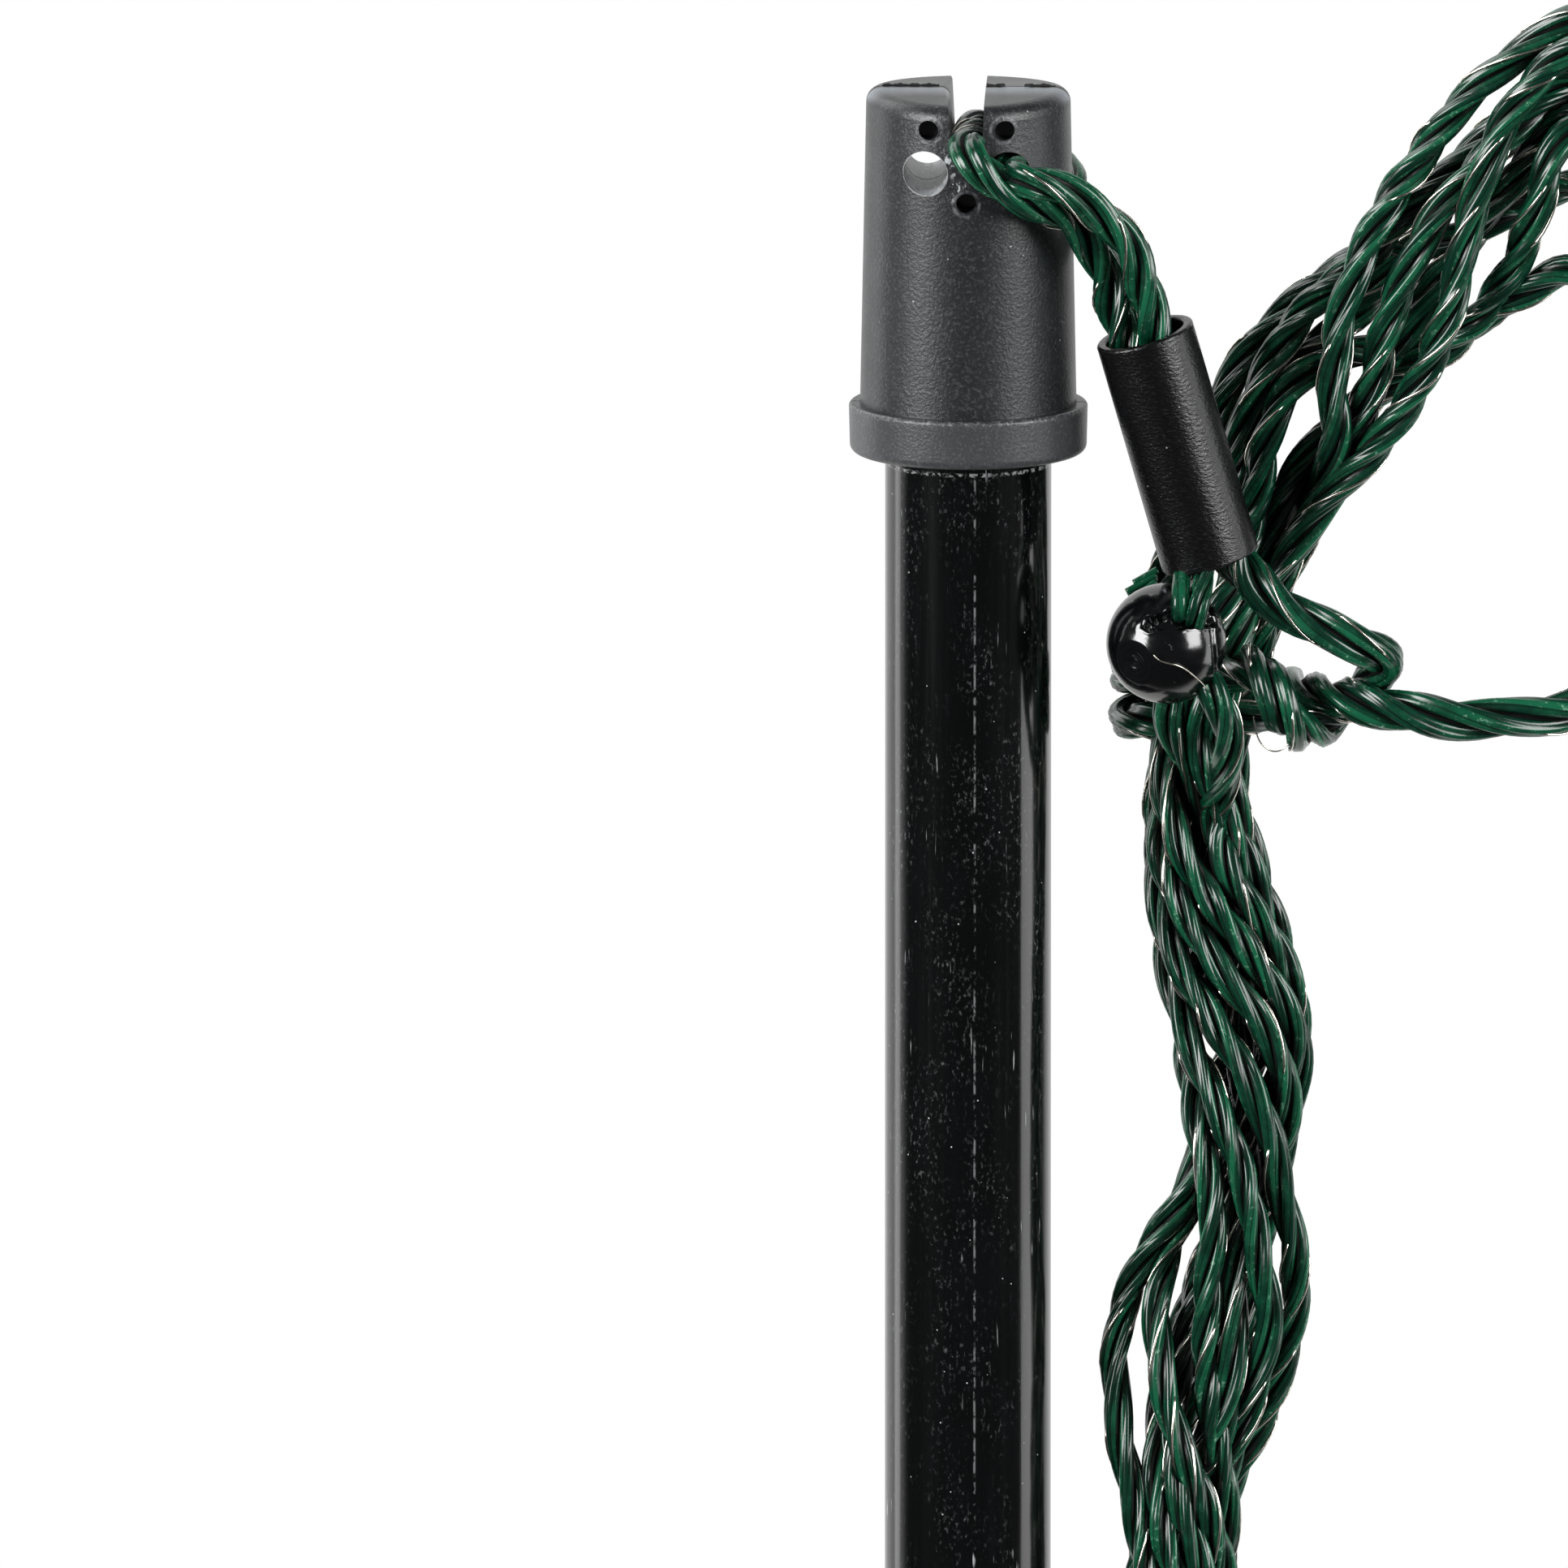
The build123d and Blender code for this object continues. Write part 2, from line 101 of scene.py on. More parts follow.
FAN_A = (
    (0.0505, 0.0022, 0.6556), (0.0459, 0.0023, 0.6525), (0.0417, 0.0026, 0.6488),
    (0.039, 0.0029, 0.6451), (0.0365, 0.0033, 0.6416), (0.0342, 0.0028, 0.638),
    (0.0322, 0.0022, 0.6333), (0.0309, 0.0025, 0.6285), (0.0306, 0.0026, 0.6244),
    (0.031, 0.0025, 0.6202), (0.03, 0.0046, 0.615), (0.0276, 0.0061, 0.6097),
    (0.0255, 0.0077, 0.605), (0.0242, 0.009, 0.5996), (0.0231, 0.0093, 0.5953),
)
FAN_B = (
    (0.0505, 0.0002, 0.6535), (0.0469, 0.0003, 0.65), (0.0443, 0.0004, 0.6459),
    (0.0431, 0.0004, 0.6417), (0.0419, 0.0006, 0.638), (0.0412, 0.0006, 0.6338),
    (0.0399, 0.0008, 0.6289), (0.0376, 0.0021, 0.6238), (0.0345, 0.0025, 0.6192),
    (0.0308, 0.0032, 0.6152), (0.028, 0.0039, 0.6113), (0.026, 0.0044, 0.6074),
    (0.0244, 0.0059, 0.6022), (0.0234, 0.0072, 0.5971),
)
FAN_F = (
    (0.0505, 0.0052, 0.6504), (0.0471, 0.0033, 0.6475), (0.0432, 0.0029, 0.6433),
    (0.0399, 0.0023, 0.6397), (0.0375, 0.0021, 0.6356), (0.0356, 0.0025, 0.631),
    (0.0344, 0.0028, 0.6264), (0.0333, 0.004, 0.6217), (0.0312, 0.0054, 0.6166),
    (0.0279, 0.0091, 0.6114), (0.0253, 0.0108, 0.6069), (0.0234, 0.0112, 0.6019),
    (0.0217, 0.0116, 0.5963),
)
FAN_G = (
    (0.0505, 0.0072, 0.6481), (0.047, 0.0073, 0.6456), (0.0429, 0.0065, 0.6431),
    (0.0391, 0.0059, 0.6407), (0.0358, 0.0055, 0.6378), (0.0333, 0.005, 0.6345),
    (0.0299, 0.0048, 0.632), (0.027, 0.0055, 0.6287), (0.0248, 0.006, 0.6245),
    (0.0231, 0.0063, 0.6202), (0.0217, 0.0086, 0.6149), (0.0199, 0.0078, 0.61),
    (0.0184, 0.0052, 0.6046), (0.0171, 0.0024, 0.5992), (0.0166, 0.0019, 0.5953),
)
FAN_E = (
    (0.0505, 0.0042, 0.6479), (0.0473, 0.0043, 0.6439), (0.0448, 0.0044, 0.6401),
    (0.0418, 0.0056, 0.6367), (0.0377, 0.0081, 0.6352), (0.034, 0.0088, 0.6345),
    (0.0308, 0.0086, 0.6329), (0.0272, 0.0084, 0.6301), (0.0241, 0.0091, 0.6267),
    (0.0217, 0.0096, 0.6231), (0.02, 0.0099, 0.6189), (0.0184, 0.0099, 0.614),
    (0.0169, 0.0099, 0.6098), (0.0161, 0.0099, 0.605), (0.0162, 0.0089, 0.5989),
)
FAN_C = (
    (0.0505, 0.0022, 0.6467), (0.0489, 0.0012, 0.6441), (0.0479, 0.0012, 0.6403),
    (0.0466, 0.0033, 0.6357), (0.0439, 0.0044, 0.631), (0.0405, 0.0057, 0.6271),
    (0.0355, 0.0065, 0.624), (0.0312, 0.0075, 0.6204), (0.0279, 0.0072, 0.6169),
    (0.0258, 0.0078, 0.6123), (0.0243, 0.0064, 0.6074), (0.0225, 0.0038, 0.6021),
    (0.0212, 0.0018, 0.597),
)
FAN_D = (
    (0.0505, 0.0042, 0.6342), (0.047, 0.0043, 0.6323), (0.0436, 0.0059, 0.6299),
    (0.0401, 0.0077, 0.6275), (0.036, 0.0084, 0.6261), (0.0319, 0.0073, 0.6262),
    (0.0289, 0.005, 0.6255), (0.0263, 0.0046, 0.623), (0.0248, 0.005, 0.6187),
    (0.0241, 0.0061, 0.6133), (0.0228, 0.0054, 0.6084), (0.0207, 0.0034, 0.6037),
    (0.019, 0.0018, 0.5978),
)
FAN_H = (
    (0.0505, 0.0062, 0.6411), (0.0481, 0.0062, 0.6398), (0.0449, 0.0064, 0.6384),
    (0.042, 0.0065, 0.6362), (0.0394, 0.0068, 0.6326), (0.0371, 0.0072, 0.6284),
    (0.0351, 0.0076, 0.6245), (0.0325, 0.0082, 0.6209), (0.0299, 0.0088, 0.617),
    (0.0272, 0.0094, 0.6127), (0.0251, 0.0099, 0.6084), (0.0224, 0.0114, 0.6026),
    (0.0203, 0.0128, 0.5968),
)
FAN_K = (
    (0.0505, 0.0082, 0.6498), (0.0463, 0.0083, 0.6466), (0.0415, 0.0086, 0.6427),
    (0.0381, 0.009, 0.6385), (0.0357, 0.0085, 0.6337), (0.033, 0.0081, 0.6296),
    (0.0295, 0.0079, 0.6269), (0.0266, 0.0086, 0.6243), (0.0243, 0.0091, 0.6204),
    (0.0224, 0.0104, 0.6153), (0.0207, 0.0108, 0.6104), (0.0186, 0.0119, 0.6046),
    (0.0175, 0.0129, 0.5982),
)
LOOP_LEAD_IN = (
    (0.066, 0.003, 0.656), (0.06, 0.0022, 0.6585), (0.0545, 0.002, 0.6574),
)
LOOP_H_TO_C = (
    (0.0542, 0.0062, 0.6404), (0.0582, 0.0056, 0.639), (0.0624, 0.0046, 0.6386),
    (0.066, 0.0036, 0.6406), (0.0672, 0.003, 0.644), (0.0654, 0.0026, 0.6472),
    (0.062, 0.0024, 0.648), (0.058, 0.0024, 0.6478), (0.054, 0.0024, 0.6472),
)
LOOP_B_TO_D = (
    (0.0538, -0.0001, 0.6554), (0.058, -0.0004, 0.6568), (0.062, -0.0009, 0.6568),
    (0.0656, -0.0014, 0.6552), (0.0679, -0.0016, 0.652), (0.0684, -0.0012, 0.6476),
    (0.0678, -0.0008, 0.643), (0.0664, 0.0002, 0.6378), (0.0632, 0.0014, 0.6338),
    (0.059, 0.0028, 0.6322), (0.0546, 0.0038, 0.6328),
)
LOOP_E_TO_G = (
    (0.0546, 0.0028, 0.6486), (0.0586, 0.0006, 0.6496), (0.0622, -0.0008, 0.6506),
    (0.0656, 0.0006, 0.6514), (0.0672, 0.0042, 0.6518), (0.0656, 0.0078, 0.6514),
    (0.062, 0.0094, 0.6504), (0.0582, 0.0092, 0.6494), (0.0544, 0.0084, 0.6487),
)
LOOP_K_TO_F = (
    (0.0545, 0.0088, 0.651), (0.0585, 0.0096, 0.6524), (0.0625, 0.0098, 0.6536),
    (0.0663, 0.008, 0.6546), (0.068, 0.0042, 0.655), (0.0663, 0.0006, 0.6546),
    (0.0626, -0.0006, 0.6534), (0.0584, 0.0012, 0.652), (0.0544, 0.0036, 0.651),
)


class Lay(Enum):
    """Which way the strands of a twine go round each other."""

    RIGHT_HAND = 1
    LEFT_HAND = -1


class Tone(Enum):
    """What a lamp does in the studio."""

    KEY = "key"
    FILL = "fill"
    RIM = "rim"
    TOP = "top"


def linear(code: str) -> tuple[float, float, float, float]:
    """Turn an sRGB hex colour into linear light.

    Args:
        code: Six hex digits after a hash sign.

    Returns:
        Red, green, blue and an alpha of one.
    """
    parts = [int(code[i : i + 2], 16) / 255 for i in (1, 3, 5)]
    light = [c / 12.92 if c <= 0.04045 else ((c + 0.055) / 1.055) ** 2.4 for c in parts]
    return (light[0], light[1], light[2], 1.0)


def per_size(millimetres: float) -> float:
    """Return the pattern scale that repeats about once in this many millimetres."""
    return 1000.0 / millimetres


def place_in_scene(name: str, data: bpy.types.ID) -> bpy.types.Object:
    """Make an object and put it in the scene.

    Args:
        name: Its name.
        data: The mesh, the lamp or the camera that it shows.

    Returns:
        The new object.
    """
    made = bpy.data.objects.new(name, data)
    bpy.context.scene.collection.objects.link(made)
    return made


def add_node(
    tree: bpy.types.NodeTree,
    kind: str,
    inputs: dict[str | int, object] | None = None,
    out: str | int = 0,
    **settings: object,
) -> Socket | None:
    """Add one node, set it up and link what feeds it.

    Args:
        tree: The tree that gets the node.
        kind: Blender's name of the node type.
        inputs: A value, or another node's output, for each named or numbered socket.
        out: Which of its outputs is wanted.
        **settings: Attributes of the node itself.

    Returns:
        That output, or nothing from a node that has none.
    """
    node = tree.nodes.new(kind)
    for name, value in settings.items():
        setattr(node, name, value)
    for name, value in (inputs or {}).items():
        if isinstance(value, Socket):
            tree.links.new(value, node.inputs[name])
        else:
            node.inputs[name].default_value = value
    return node.outputs[out] if node.outputs else None


@dataclass(frozen=True)
class Skin:
    """The nodes of one surface while it is made.

    Attributes:
        tree: The tree that gets the nodes.
        place: The coordinates in metres that its patterns follow.
    """

    tree: bpy.types.NodeTree
    place: Socket

    def grain(
        self,
        size: float,
        stretch: Point = (1.0, 1.0, 1.0),
        turn: Point = (0.0, 0.0, 0.0),
        detail: float = 4.0,
    ) -> Socket:
        """Lay a cloudy pattern over the surface.

        Args:
            size: The width of one cloud, in millimetres.
            stretch: How much denser it is along each axis.
            turn: The turn of the pattern, in radians.
            detail: How many finer layers it has.

        Returns:
            The pattern, from 0 to 1.
        """
        turned = add_node(self.tree, "ShaderNodeMapping", {0: self.place, 2: turn, 3: stretch})
        shape = {"Vector": turned, "Scale": per_size(size), "Detail": detail, "Roughness": 0.6}
        return add_node(self.tree, "ShaderNodeTexNoise", shape, "Fac")

    def near(self, centre: Point, flatten: Point = (1.0, 1.0, 1.0)) -> Socket:
        """Measure how far the surface is from a point.

        Args:
            centre: The point, in metres.
            flatten: Nought on the axes that don't count.

        Returns:
            The distance in metres.
        """
        moved = add_node(self.tree, "ShaderNodeVectorMath", {0: self.place, 1: centre}, operation="SUBTRACT")
        kept = add_node(self.tree, "ShaderNodeVectorMath", {0: moved, 1: flatten}, operation="MULTIPLY")
        return add_node(self.tree, "ShaderNodeVectorMath", {0: kept}, "Value", operation="LENGTH")

    def mask(self, *layers: Layer, strength: float = 1.0) -> Socket:
        """Mark the places where every one of some patterns has passed its edge.

        Args:
            *layers: Each pattern, where its mark starts to show, and where it is full.
            strength: The mark where all are full.

        Returns:
            The smooth mask.
        """
        total = None
        for pattern, low, high in layers:
            ends = {0: pattern, 1: low, 2: high, 4: strength if total is None else 1.0}
            one = add_node(self.tree, "ShaderNodeMapRange", ends, interpolation_type="SMOOTHSTEP")
            if total is not None:
                one = add_node(self.tree, "ShaderNodeMath", {0: total, 1: one}, operation="MULTIPLY")
            total = one
        return total

    def strongest(self, *marks: object) -> Socket:
        """Find the highest of several masks at each place.

        Args:
            *marks: The masks, or a number that none goes under.

        Returns:
            The mask of them all.
        """
        total = marks[0]
        for mark in marks[1:]:
            total = add_node(self.tree, "ShaderNodeMath", {0: total, 1: mark}, operation="MAXIMUM")
        return total

    def paint(self, colour: object, *coats: tuple[Socket, object]) -> Socket:
        """Lay coats of colour over each other.

        Args:
            colour: The lowest colour.
            *coats: For each coat the mask of where it shows, and its colour.

        Returns:
            The colour of the whole.
        """
        for mask, over in coats:
            colour = add_node(self.tree, "ShaderNodeMix", {0: mask, 6: colour, 7: over}, 2, data_type="RGBA")
        return colour

    def specks(self, apart: float, size: float, strength: float) -> Socket:
        """Scatter small round specks.

        Args:
            apart: About how far apart they lie, in millimetres.
            size: The width of one, in millimetres.
            strength: How clearly they show.

        Returns:
            The mask of the specks.
        """
        shape = {"Vector": self.place, "Scale": per_size(apart)}
        cells = add_node(self.tree, "ShaderNodeTexVoronoi", shape, "Distance")
        reach = 0.5 * size / apart
        return self.mask((cells, reach, reach * 0.5), strength=strength)


@dataclass(frozen=True)
class Finish:
    """A material made from what the real one is.

    Attributes:
        name: The material, and how its surface was made.
        base: Its main colour.
        shade: The colour of its darker or worn places.
        worn: The pale colour that scratches and wear bring out; on the twine it also lays a painted sheen.
        roughness: The lowest and highest roughness over its surface.
        ior: The index of refraction.
        relief: The height of its relief, in millimetres.
        metallic: One for a metal.
    """

    name: str
    base: str
    shade: str
    worn: str = "#FFFFFF"
    roughness: tuple[float, float] = (0.4, 0.6)
    ior: float = 1.5
    relief: float = 0.01
    metallic: float = 0.0

    def patterns(self, skin: Skin) -> Patterns:
        """Lay the finish's patterns.

        Args:
            skin: The surface.

        Returns:
            Its colour, where it is rough from 0 to 1, and its relief.
        """
        raise NotImplementedError

    def material(self) -> bpy.types.Material:
        """Make the material out of its patterns.

        Returns:
            The finished material.
        """
        material = bpy.data.materials.new(self.name)
        material.use_nodes = True
        material.diffuse_color = linear(self.base)
        tree = material.node_tree
        tree.nodes.clear()
        skin = Skin(tree, add_node(tree, "ShaderNodeTexCoord", out="Object"))
        colour, rough_mask, height = self.patterns(skin)
        low, high = self.roughness
        relief = {"Height": height, "Distance": self.relief * MM, "Strength": 1.0}
        sockets = {
            "Base Color": colour,
            "Roughness": add_node(tree, "ShaderNodeMapRange", {0: rough_mask, 3: low, 4: high}),
            "Normal": add_node(tree, "ShaderNodeBump", relief),
            "IOR": self.ior,
            "Metallic": self.metallic,
        }
        shader = add_node(tree, "ShaderNodeBsdfPrincipled", sockets)
        add_node(tree, "ShaderNodeOutputMaterial", {"Surface": shader})
        return material


@dataclass(frozen=True)
class MouldedCharcoal(Finish):
    """Glass-filled polypropylene, injection moulded in a spark-eroded tool.

    The tool leaves a sandy grain that spreads the light into wide soft bands, and rubbing by the
    twine brings out pale streaks where the grain is broken.

    Attributes:
        roof_height: Where the sloping top starts, in metres.
        rim_height: The flange's upper edge, in metres.
        rim_radius: Where that edge is rubbed, from the cap's middle.
        slope_highlight: The light grey of the painted highlight on the top's front face.
        parting_shadow: The painted shadow in the gap between the halves.
        parting_fill: The middle of the stretch where flash fills the gap.
        bore: The middle of the open cord bore, and the radius that wear reaches.
        scuffs: The middle and the reach of each rubbed place.
        holes: The middle of each peg hole.
        burr_radius: The radius of the pale burr round a peg hole.
    """

    relief: float = 0.04
    roof_height: float = 0.6488
    rim_height: float = 0.6231
    rim_radius: float = 0.0099
    slope_highlight: str = "#AEB6BE"
    parting_shadow: str = "#020202"
    parting_fill: Point = (0.0040, 0.0, 0.0)
    bore: tuple[Point, float] = ((-0.00345, 0.0, 0.644), 0.00193)
    scuffs: tuple[tuple[Point, float], ...] = ()
    holes: tuple[Point, ...] = ((-0.0031, 0.0, 0.6477), (0.0031, 0.0, 0.6477), (0.0, 0.0, 0.6415))
    burr_radius: float = 0.00108

    def patterns(self, skin: Skin) -> Patterns:
        """Lay the finish's patterns.

        Args:
            skin: The surface.

        Returns:
            Its colour, where it is rough from 0 to 1, and its relief.
        """
        worn = linear(self.worn)
        clouds = skin.grain(3.5)
        # The real grain is about 0.1 mm, and is drawn three times as coarse so that it shows.
        sand = skin.grain(0.27, detail=2.0)
        level = add_node(skin.tree, "ShaderNodeSeparateXYZ", {0: skin.place}, "Z")
        colour = skin.paint(
            linear(self.base),
            (skin.mask((clouds, 0.35, 0.65)), linear(self.shade)),
            (skin.mask((sand, 0.48, 0.75), strength=0.055), worn),
            (skin.mask((level, self.rim_height + 0.0002, self.rim_height - 0.0002), strength=0.045), worn),
        )
        colour = self.roof(skin, level, sand, colour)
        specks = skin.specks(1.7, 0.2, 0.6)
        marks = skin.strongest(*self.rubbed(skin), self.rim(skin), *self.burrs(skin), specks)
        return skin.paint(colour, (marks, worn)), clouds, sand

    def roof(self, skin: Skin, level: Socket, sand: Socket, colour: Socket) -> Socket:
        """Paint a shadow along the line where the halves meet on top, and a highlight on the roof in front of
        it.

        Args:
            skin: The surface.
            level: Its height.
            sand: The moulded grain.
            colour: The colour so far.

        Returns:
            The colour with the painted shadow and highlight on top.
        """
        top = (level, self.roof_height, self.roof_height + 0.0007)
        depth = add_node(skin.tree, "ShaderNodeSeparateXYZ", {0: skin.place}, "Y")
        # Painted highlight: the top's front half is painted light grey, as it catches the light.
        front = skin.mask((depth, 0.0002, -0.0004), (depth, -0.0042, -0.0006), top, strength=0.4)
        away = add_node(skin.tree, "ShaderNodeMath", {0: depth}, operation="ABSOLUTE")
        crumbs = skin.mask((skin.near(self.parting_fill, (1.0, 0.0, 0.0)), 0.0014, 0.0009), (sand, 0.3, 0.42))
        open_gap = add_node(skin.tree, "ShaderNodeMath", {0: 1.0, 1: crumbs}, operation="SUBTRACT")
        # Painted shadow: the gap between the halves is painted near black, but not where flash fills it.
        line = skin.mask((away, 0.00062, 0.00046), top)
        line = add_node(skin.tree, "ShaderNodeMath", {0: line, 1: open_gap}, operation="MULTIPLY")
        return skin.paint(colour, (front, linear(self.slope_highlight)), (line, linear(self.parting_shadow)))

    def rubbed(self, skin: Skin) -> list[Socket]:
        """Streak the open bore and the places that the twine has rubbed.

        Args:
            skin: The surface.

        Returns:
            The masks of the pale streaks.
        """
        middle, reach = self.bore
        streaks, broad = skin.grain(0.38, (1.0, 0.12, 1.0)), skin.grain(1.6, detail=2.0)
        wear = skin.strongest(skin.mask((streaks, 0.22, 0.6), (broad, 0.2, 0.5)), 0.4)
        inside = skin.mask((skin.near(middle, (1.0, 0.0, 1.0)), reach, reach - 0.00004), strength=0.85)
        marks = [add_node(skin.tree, "ShaderNodeMath", {0: inside, 1: wear}, operation="MULTIPLY")]
        nicks = skin.grain(0.36, (1.0, 1.0, 0.6), (0.0, 0.9, 0.0), 3.0)
        for centre, spread in self.scuffs:
            close_by = (skin.near(centre), spread, spread * 0.4)
            marks.append(skin.mask(close_by, (nicks, 0.5, 0.66), strength=0.85))
        return marks

    def rim(self, skin: Skin) -> Socket:
        """Rub the flange's upper edge pale.

        Args:
            skin: The surface.

        Returns:
            The mask of the rubbed edge.
        """
        level = skin.near((0.0, 0.0, self.rim_height), (0.0, 0.0, 1.0))
        out = skin.near((0.0, 0.0, 0.0), (1.0, 1.0, 0.0))
        edge = (out, self.rim_radius - 0.0003, self.rim_radius)
        return skin.mask((level, 0.0005, 0.0001), edge, (skin.grain(0.3), 0.45, 0.75), strength=0.3)

    def burrs(self, skin: Skin) -> list[Socket]:
        """Draw the broken pale burr round each peg hole.

        Args:
            skin: The surface.

        Returns:
            The mask of each burr.
        """
        broken = (skin.grain(1.1, detail=2.0), 0.4, 0.6)
        rings = []
        for hole in self.holes:
            far = skin.near(hole, (1.0, 0.0, 1.0))
            off = add_node(skin.tree, "ShaderNodeMath", {0: far, 1: self.burr_radius}, operation="SUBTRACT")
            off = add_node(skin.tree, "ShaderNodeMath", {0: off}, operation="ABSOLUTE")
            rings.append(skin.mask((off, 0.0002, 0.00005), broken, strength=0.17))
        return rings


@dataclass(frozen=True)
class ExtrudedBlack(Finish):
    """Rigid PVC tube, extruded and drawn through a cooling die.

    The die leaves it glossy, with faint lines along it, and handling adds dust and short scratches.

    Attributes:
        seam_at: Where the die's split runs down the front, with dashed pale marks painted along it as a
            highlight.
        ring_height: Where crumbs gather under the cap.
    """

    relief: float = 0.012
    seam_at: Point = (0.0007, -0.007, 0.0)
    ring_height: float = 0.6181

    def patterns(self, skin: Skin) -> Patterns:
        """Lay the finish's patterns.

        Args:
            skin: The surface.

        Returns:
            Its colour, where it is rough from 0 to 1, and its relief.
        """
        lines = skin.grain(0.5, (1.0, 1.0, 0.02), detail=3.0)
        clouds = skin.grain(3.0, (1.0, 1.0, 0.25))
        nicks = skin.grain(0.3, (1.0, 1.0, 0.07), detail=2.0)
        # Dust is finer than 0.1 mm, and is drawn three times as coarse so that it shows.
        dust = skin.grain(0.3, (1.0, 1.0, 0.6))
        drifts = skin.grain(3.6, (1.0, 1.0, 0.4), detail=2.0)
        seam_highlight = (skin.near(self.seam_at, (1.0, 1.0, 0.0)), 0.00014, 0.00005)
        ring = (skin.near((0.0, 0.0, self.ring_height), (0.0, 0.0, 1.0)), 0.00022, 0.00006)
        marks = skin.strongest(
            skin.specks(1.7, 0.17, 0.55),
            skin.mask((nicks, 0.68, 0.78), (skin.grain(8.0), 0.48, 0.6), strength=0.5),
            skin.mask((dust, 0.54, 0.86), (drifts, 0.36, 0.7), strength=0.2),
            # Painted highlight: dashed pale marks along the die's split.
            skin.mask(seam_highlight, (skin.grain(0.8, (1.0, 1.0, 0.7)), 0.46, 0.6), strength=0.16),
            skin.mask(ring, (skin.grain(0.4), 0.46, 0.66), strength=0.5),
        )
        coats = ((skin.mask((clouds, 0.4, 0.75)), linear(self.shade)), (marks, linear(self.worn)))
        height = add_node(skin.tree, "ShaderNodeMath", {0: lines, 1: 0.4, 2: marks}, operation="MULTIPLY_ADD")
        return skin.paint(linear(self.base), *coats), skin.strongest(lines, marks), height


@dataclass(frozen=True)
class GrainedRubber(Finish):
    """Carbon-black EPDM hose, extruded and cut to length.

    Its skin is dull and finely pitted, with a faint bloom and pale specks of dust on it.

    Attributes:
        turn: How the hose leans, in radians.
    """

    relief: float = 0.06
    turn: Point = (0.0, 0.0, 0.0)

    def patterns(self, skin: Skin) -> Patterns:
        """Lay the finish's patterns.

        Args:
            skin: The surface.

        Returns:
            Its colour, where it is rough from 0 to 1, and its relief.
        """
        clouds = skin.grain(2.0, (1.0, 1.0, 0.5), self.turn)
        # The skin's pits are about 0.1 mm, and are drawn twice as coarse so that they show.
        pits = skin.grain(0.22, (0.55, 0.55, 1.0), self.turn, 2.0)
        bloom = skin.mask((pits, 0.52, 0.74), (clouds, 0.3, 0.6), strength=0.02)
        colour = skin.paint(
            linear(self.base),
            (skin.mask((clouds, 0.35, 0.65)), linear(self.shade)),
            (skin.strongest(bloom, skin.specks(2.0, 0.2, 0.55)), linear(self.worn)),
        )
        return colour, clouds, pits


@dataclass(frozen=True)
class TumbledNylon(Finish):
    """Nylon, injection moulded in a polished tool and tumbled smooth.

    It takes sharp reflections, with faint swirls where it has rubbed on the twine.
    """

    relief: float = 0.02

    def patterns(self, skin: Skin) -> Patterns:
        """Lay the finish's patterns.

        Args:
            skin: The surface.

        Returns:
            Its colour, where it is rough from 0 to 1, and its relief.
        """
        swirls = skin.grain(1.1, (1.0, 0.3, 1.0), (0.4, 0.2, 0.6), 3.0)
        colour = skin.paint(
            linear(self.base),
            (skin.mask((skin.grain(2.2), 0.4, 0.7)), linear(self.shade)),
            (skin.mask((swirls, 0.66, 0.76), strength=0.45), linear(self.worn)),
        )
        return colour, swirls, swirls


@dataclass(frozen=True)
class DrawnPolythene(Finish):
    """Green polythene monofilament, drawn and twisted into a three-strand twine.

    Each filament is smooth and shines along its length, and the gaps between them are painted nearly black as
    shade.

    Attributes:
        gap: The painted shade between the filaments.
    """

    relief: float = 0.015
    gap: str = "#010503"

    def patterns(self, skin: Skin) -> Patterns:
        """Lay the finish's patterns.

        Args:
            skin: The surface.

        Returns:
            Its colour, where it is rough from 0 to 1, and its relief.
        """
        tint_and_light = add_node(skin.tree, "ShaderNodeAttribute", out="Fac", attribute_name="fibre_tint_and_light")
        crown_and_shade = add_node(skin.tree, "ShaderNodeAttribute", out="Fac", attribute_name="fibre_crown_and_shade")
        drift = skin.grain(2.4, detail=3.0)
        # The filament's lightness is its own tint with painted light where it rises, varied slowly.
        mixed = {0: tint_and_light, 1: 0.65, 2: drift}
        lightness = add_node(skin.tree, "ShaderNodeMath", mixed, operation="MULTIPLY_ADD")
        lightness = skin.mask((lightness, 0.5, 1.2))
        frayed = skin.grain(0.45, detail=3.0)
        colour = skin.paint(
            linear(self.shade),
            (lightness, linear(self.base)),
            # Pale streaks where the filaments are frayed, which also serve as a painted sheen on the lighter
            # filaments.
            (skin.mask((frayed, 0.58, 0.72), (lightness, 0.1, 0.9), strength=0.32), linear(self.worn)),
            # Painted shade: the grooves between filaments and the gaps between runs go nearly black.
            (skin.mask((crown_and_shade, 0.8, 0.12)), linear(self.gap)),
        )
        rough = add_node(skin.tree, "ShaderNodeMath", {0: frayed, 1: 0.35}, operation="MULTIPLY")
        return colour, skin.strongest(rough, skin.mask((crown_and_shade, 0.5, 0.0))), drift


@dataclass(frozen=True)
class DrawnMetal(Finish):
    """Metal drawn to wire, rod or a thin tube.

    Drawing leaves fine lines along it and a soft bright shine.

    Attributes:
        line_width: The width of a line, in millimetres.
    """

    metallic: float = 1.0
    line_width: float = 0.4

    def patterns(self, skin: Skin) -> Patterns:
        """Lay the finish's patterns.

        Args:
            skin: The surface.

        Returns:
            Its colour, where it is rough from 0 to 1, and its relief.
        """
        lines = skin.grain(self.line_width, (1.0, 1.0, 0.05), detail=3.0)
        colour = skin.paint(linear(self.base), (skin.mask((lines, 0.35, 0.7)), linear(self.shade)))
        return colour, lines, lines


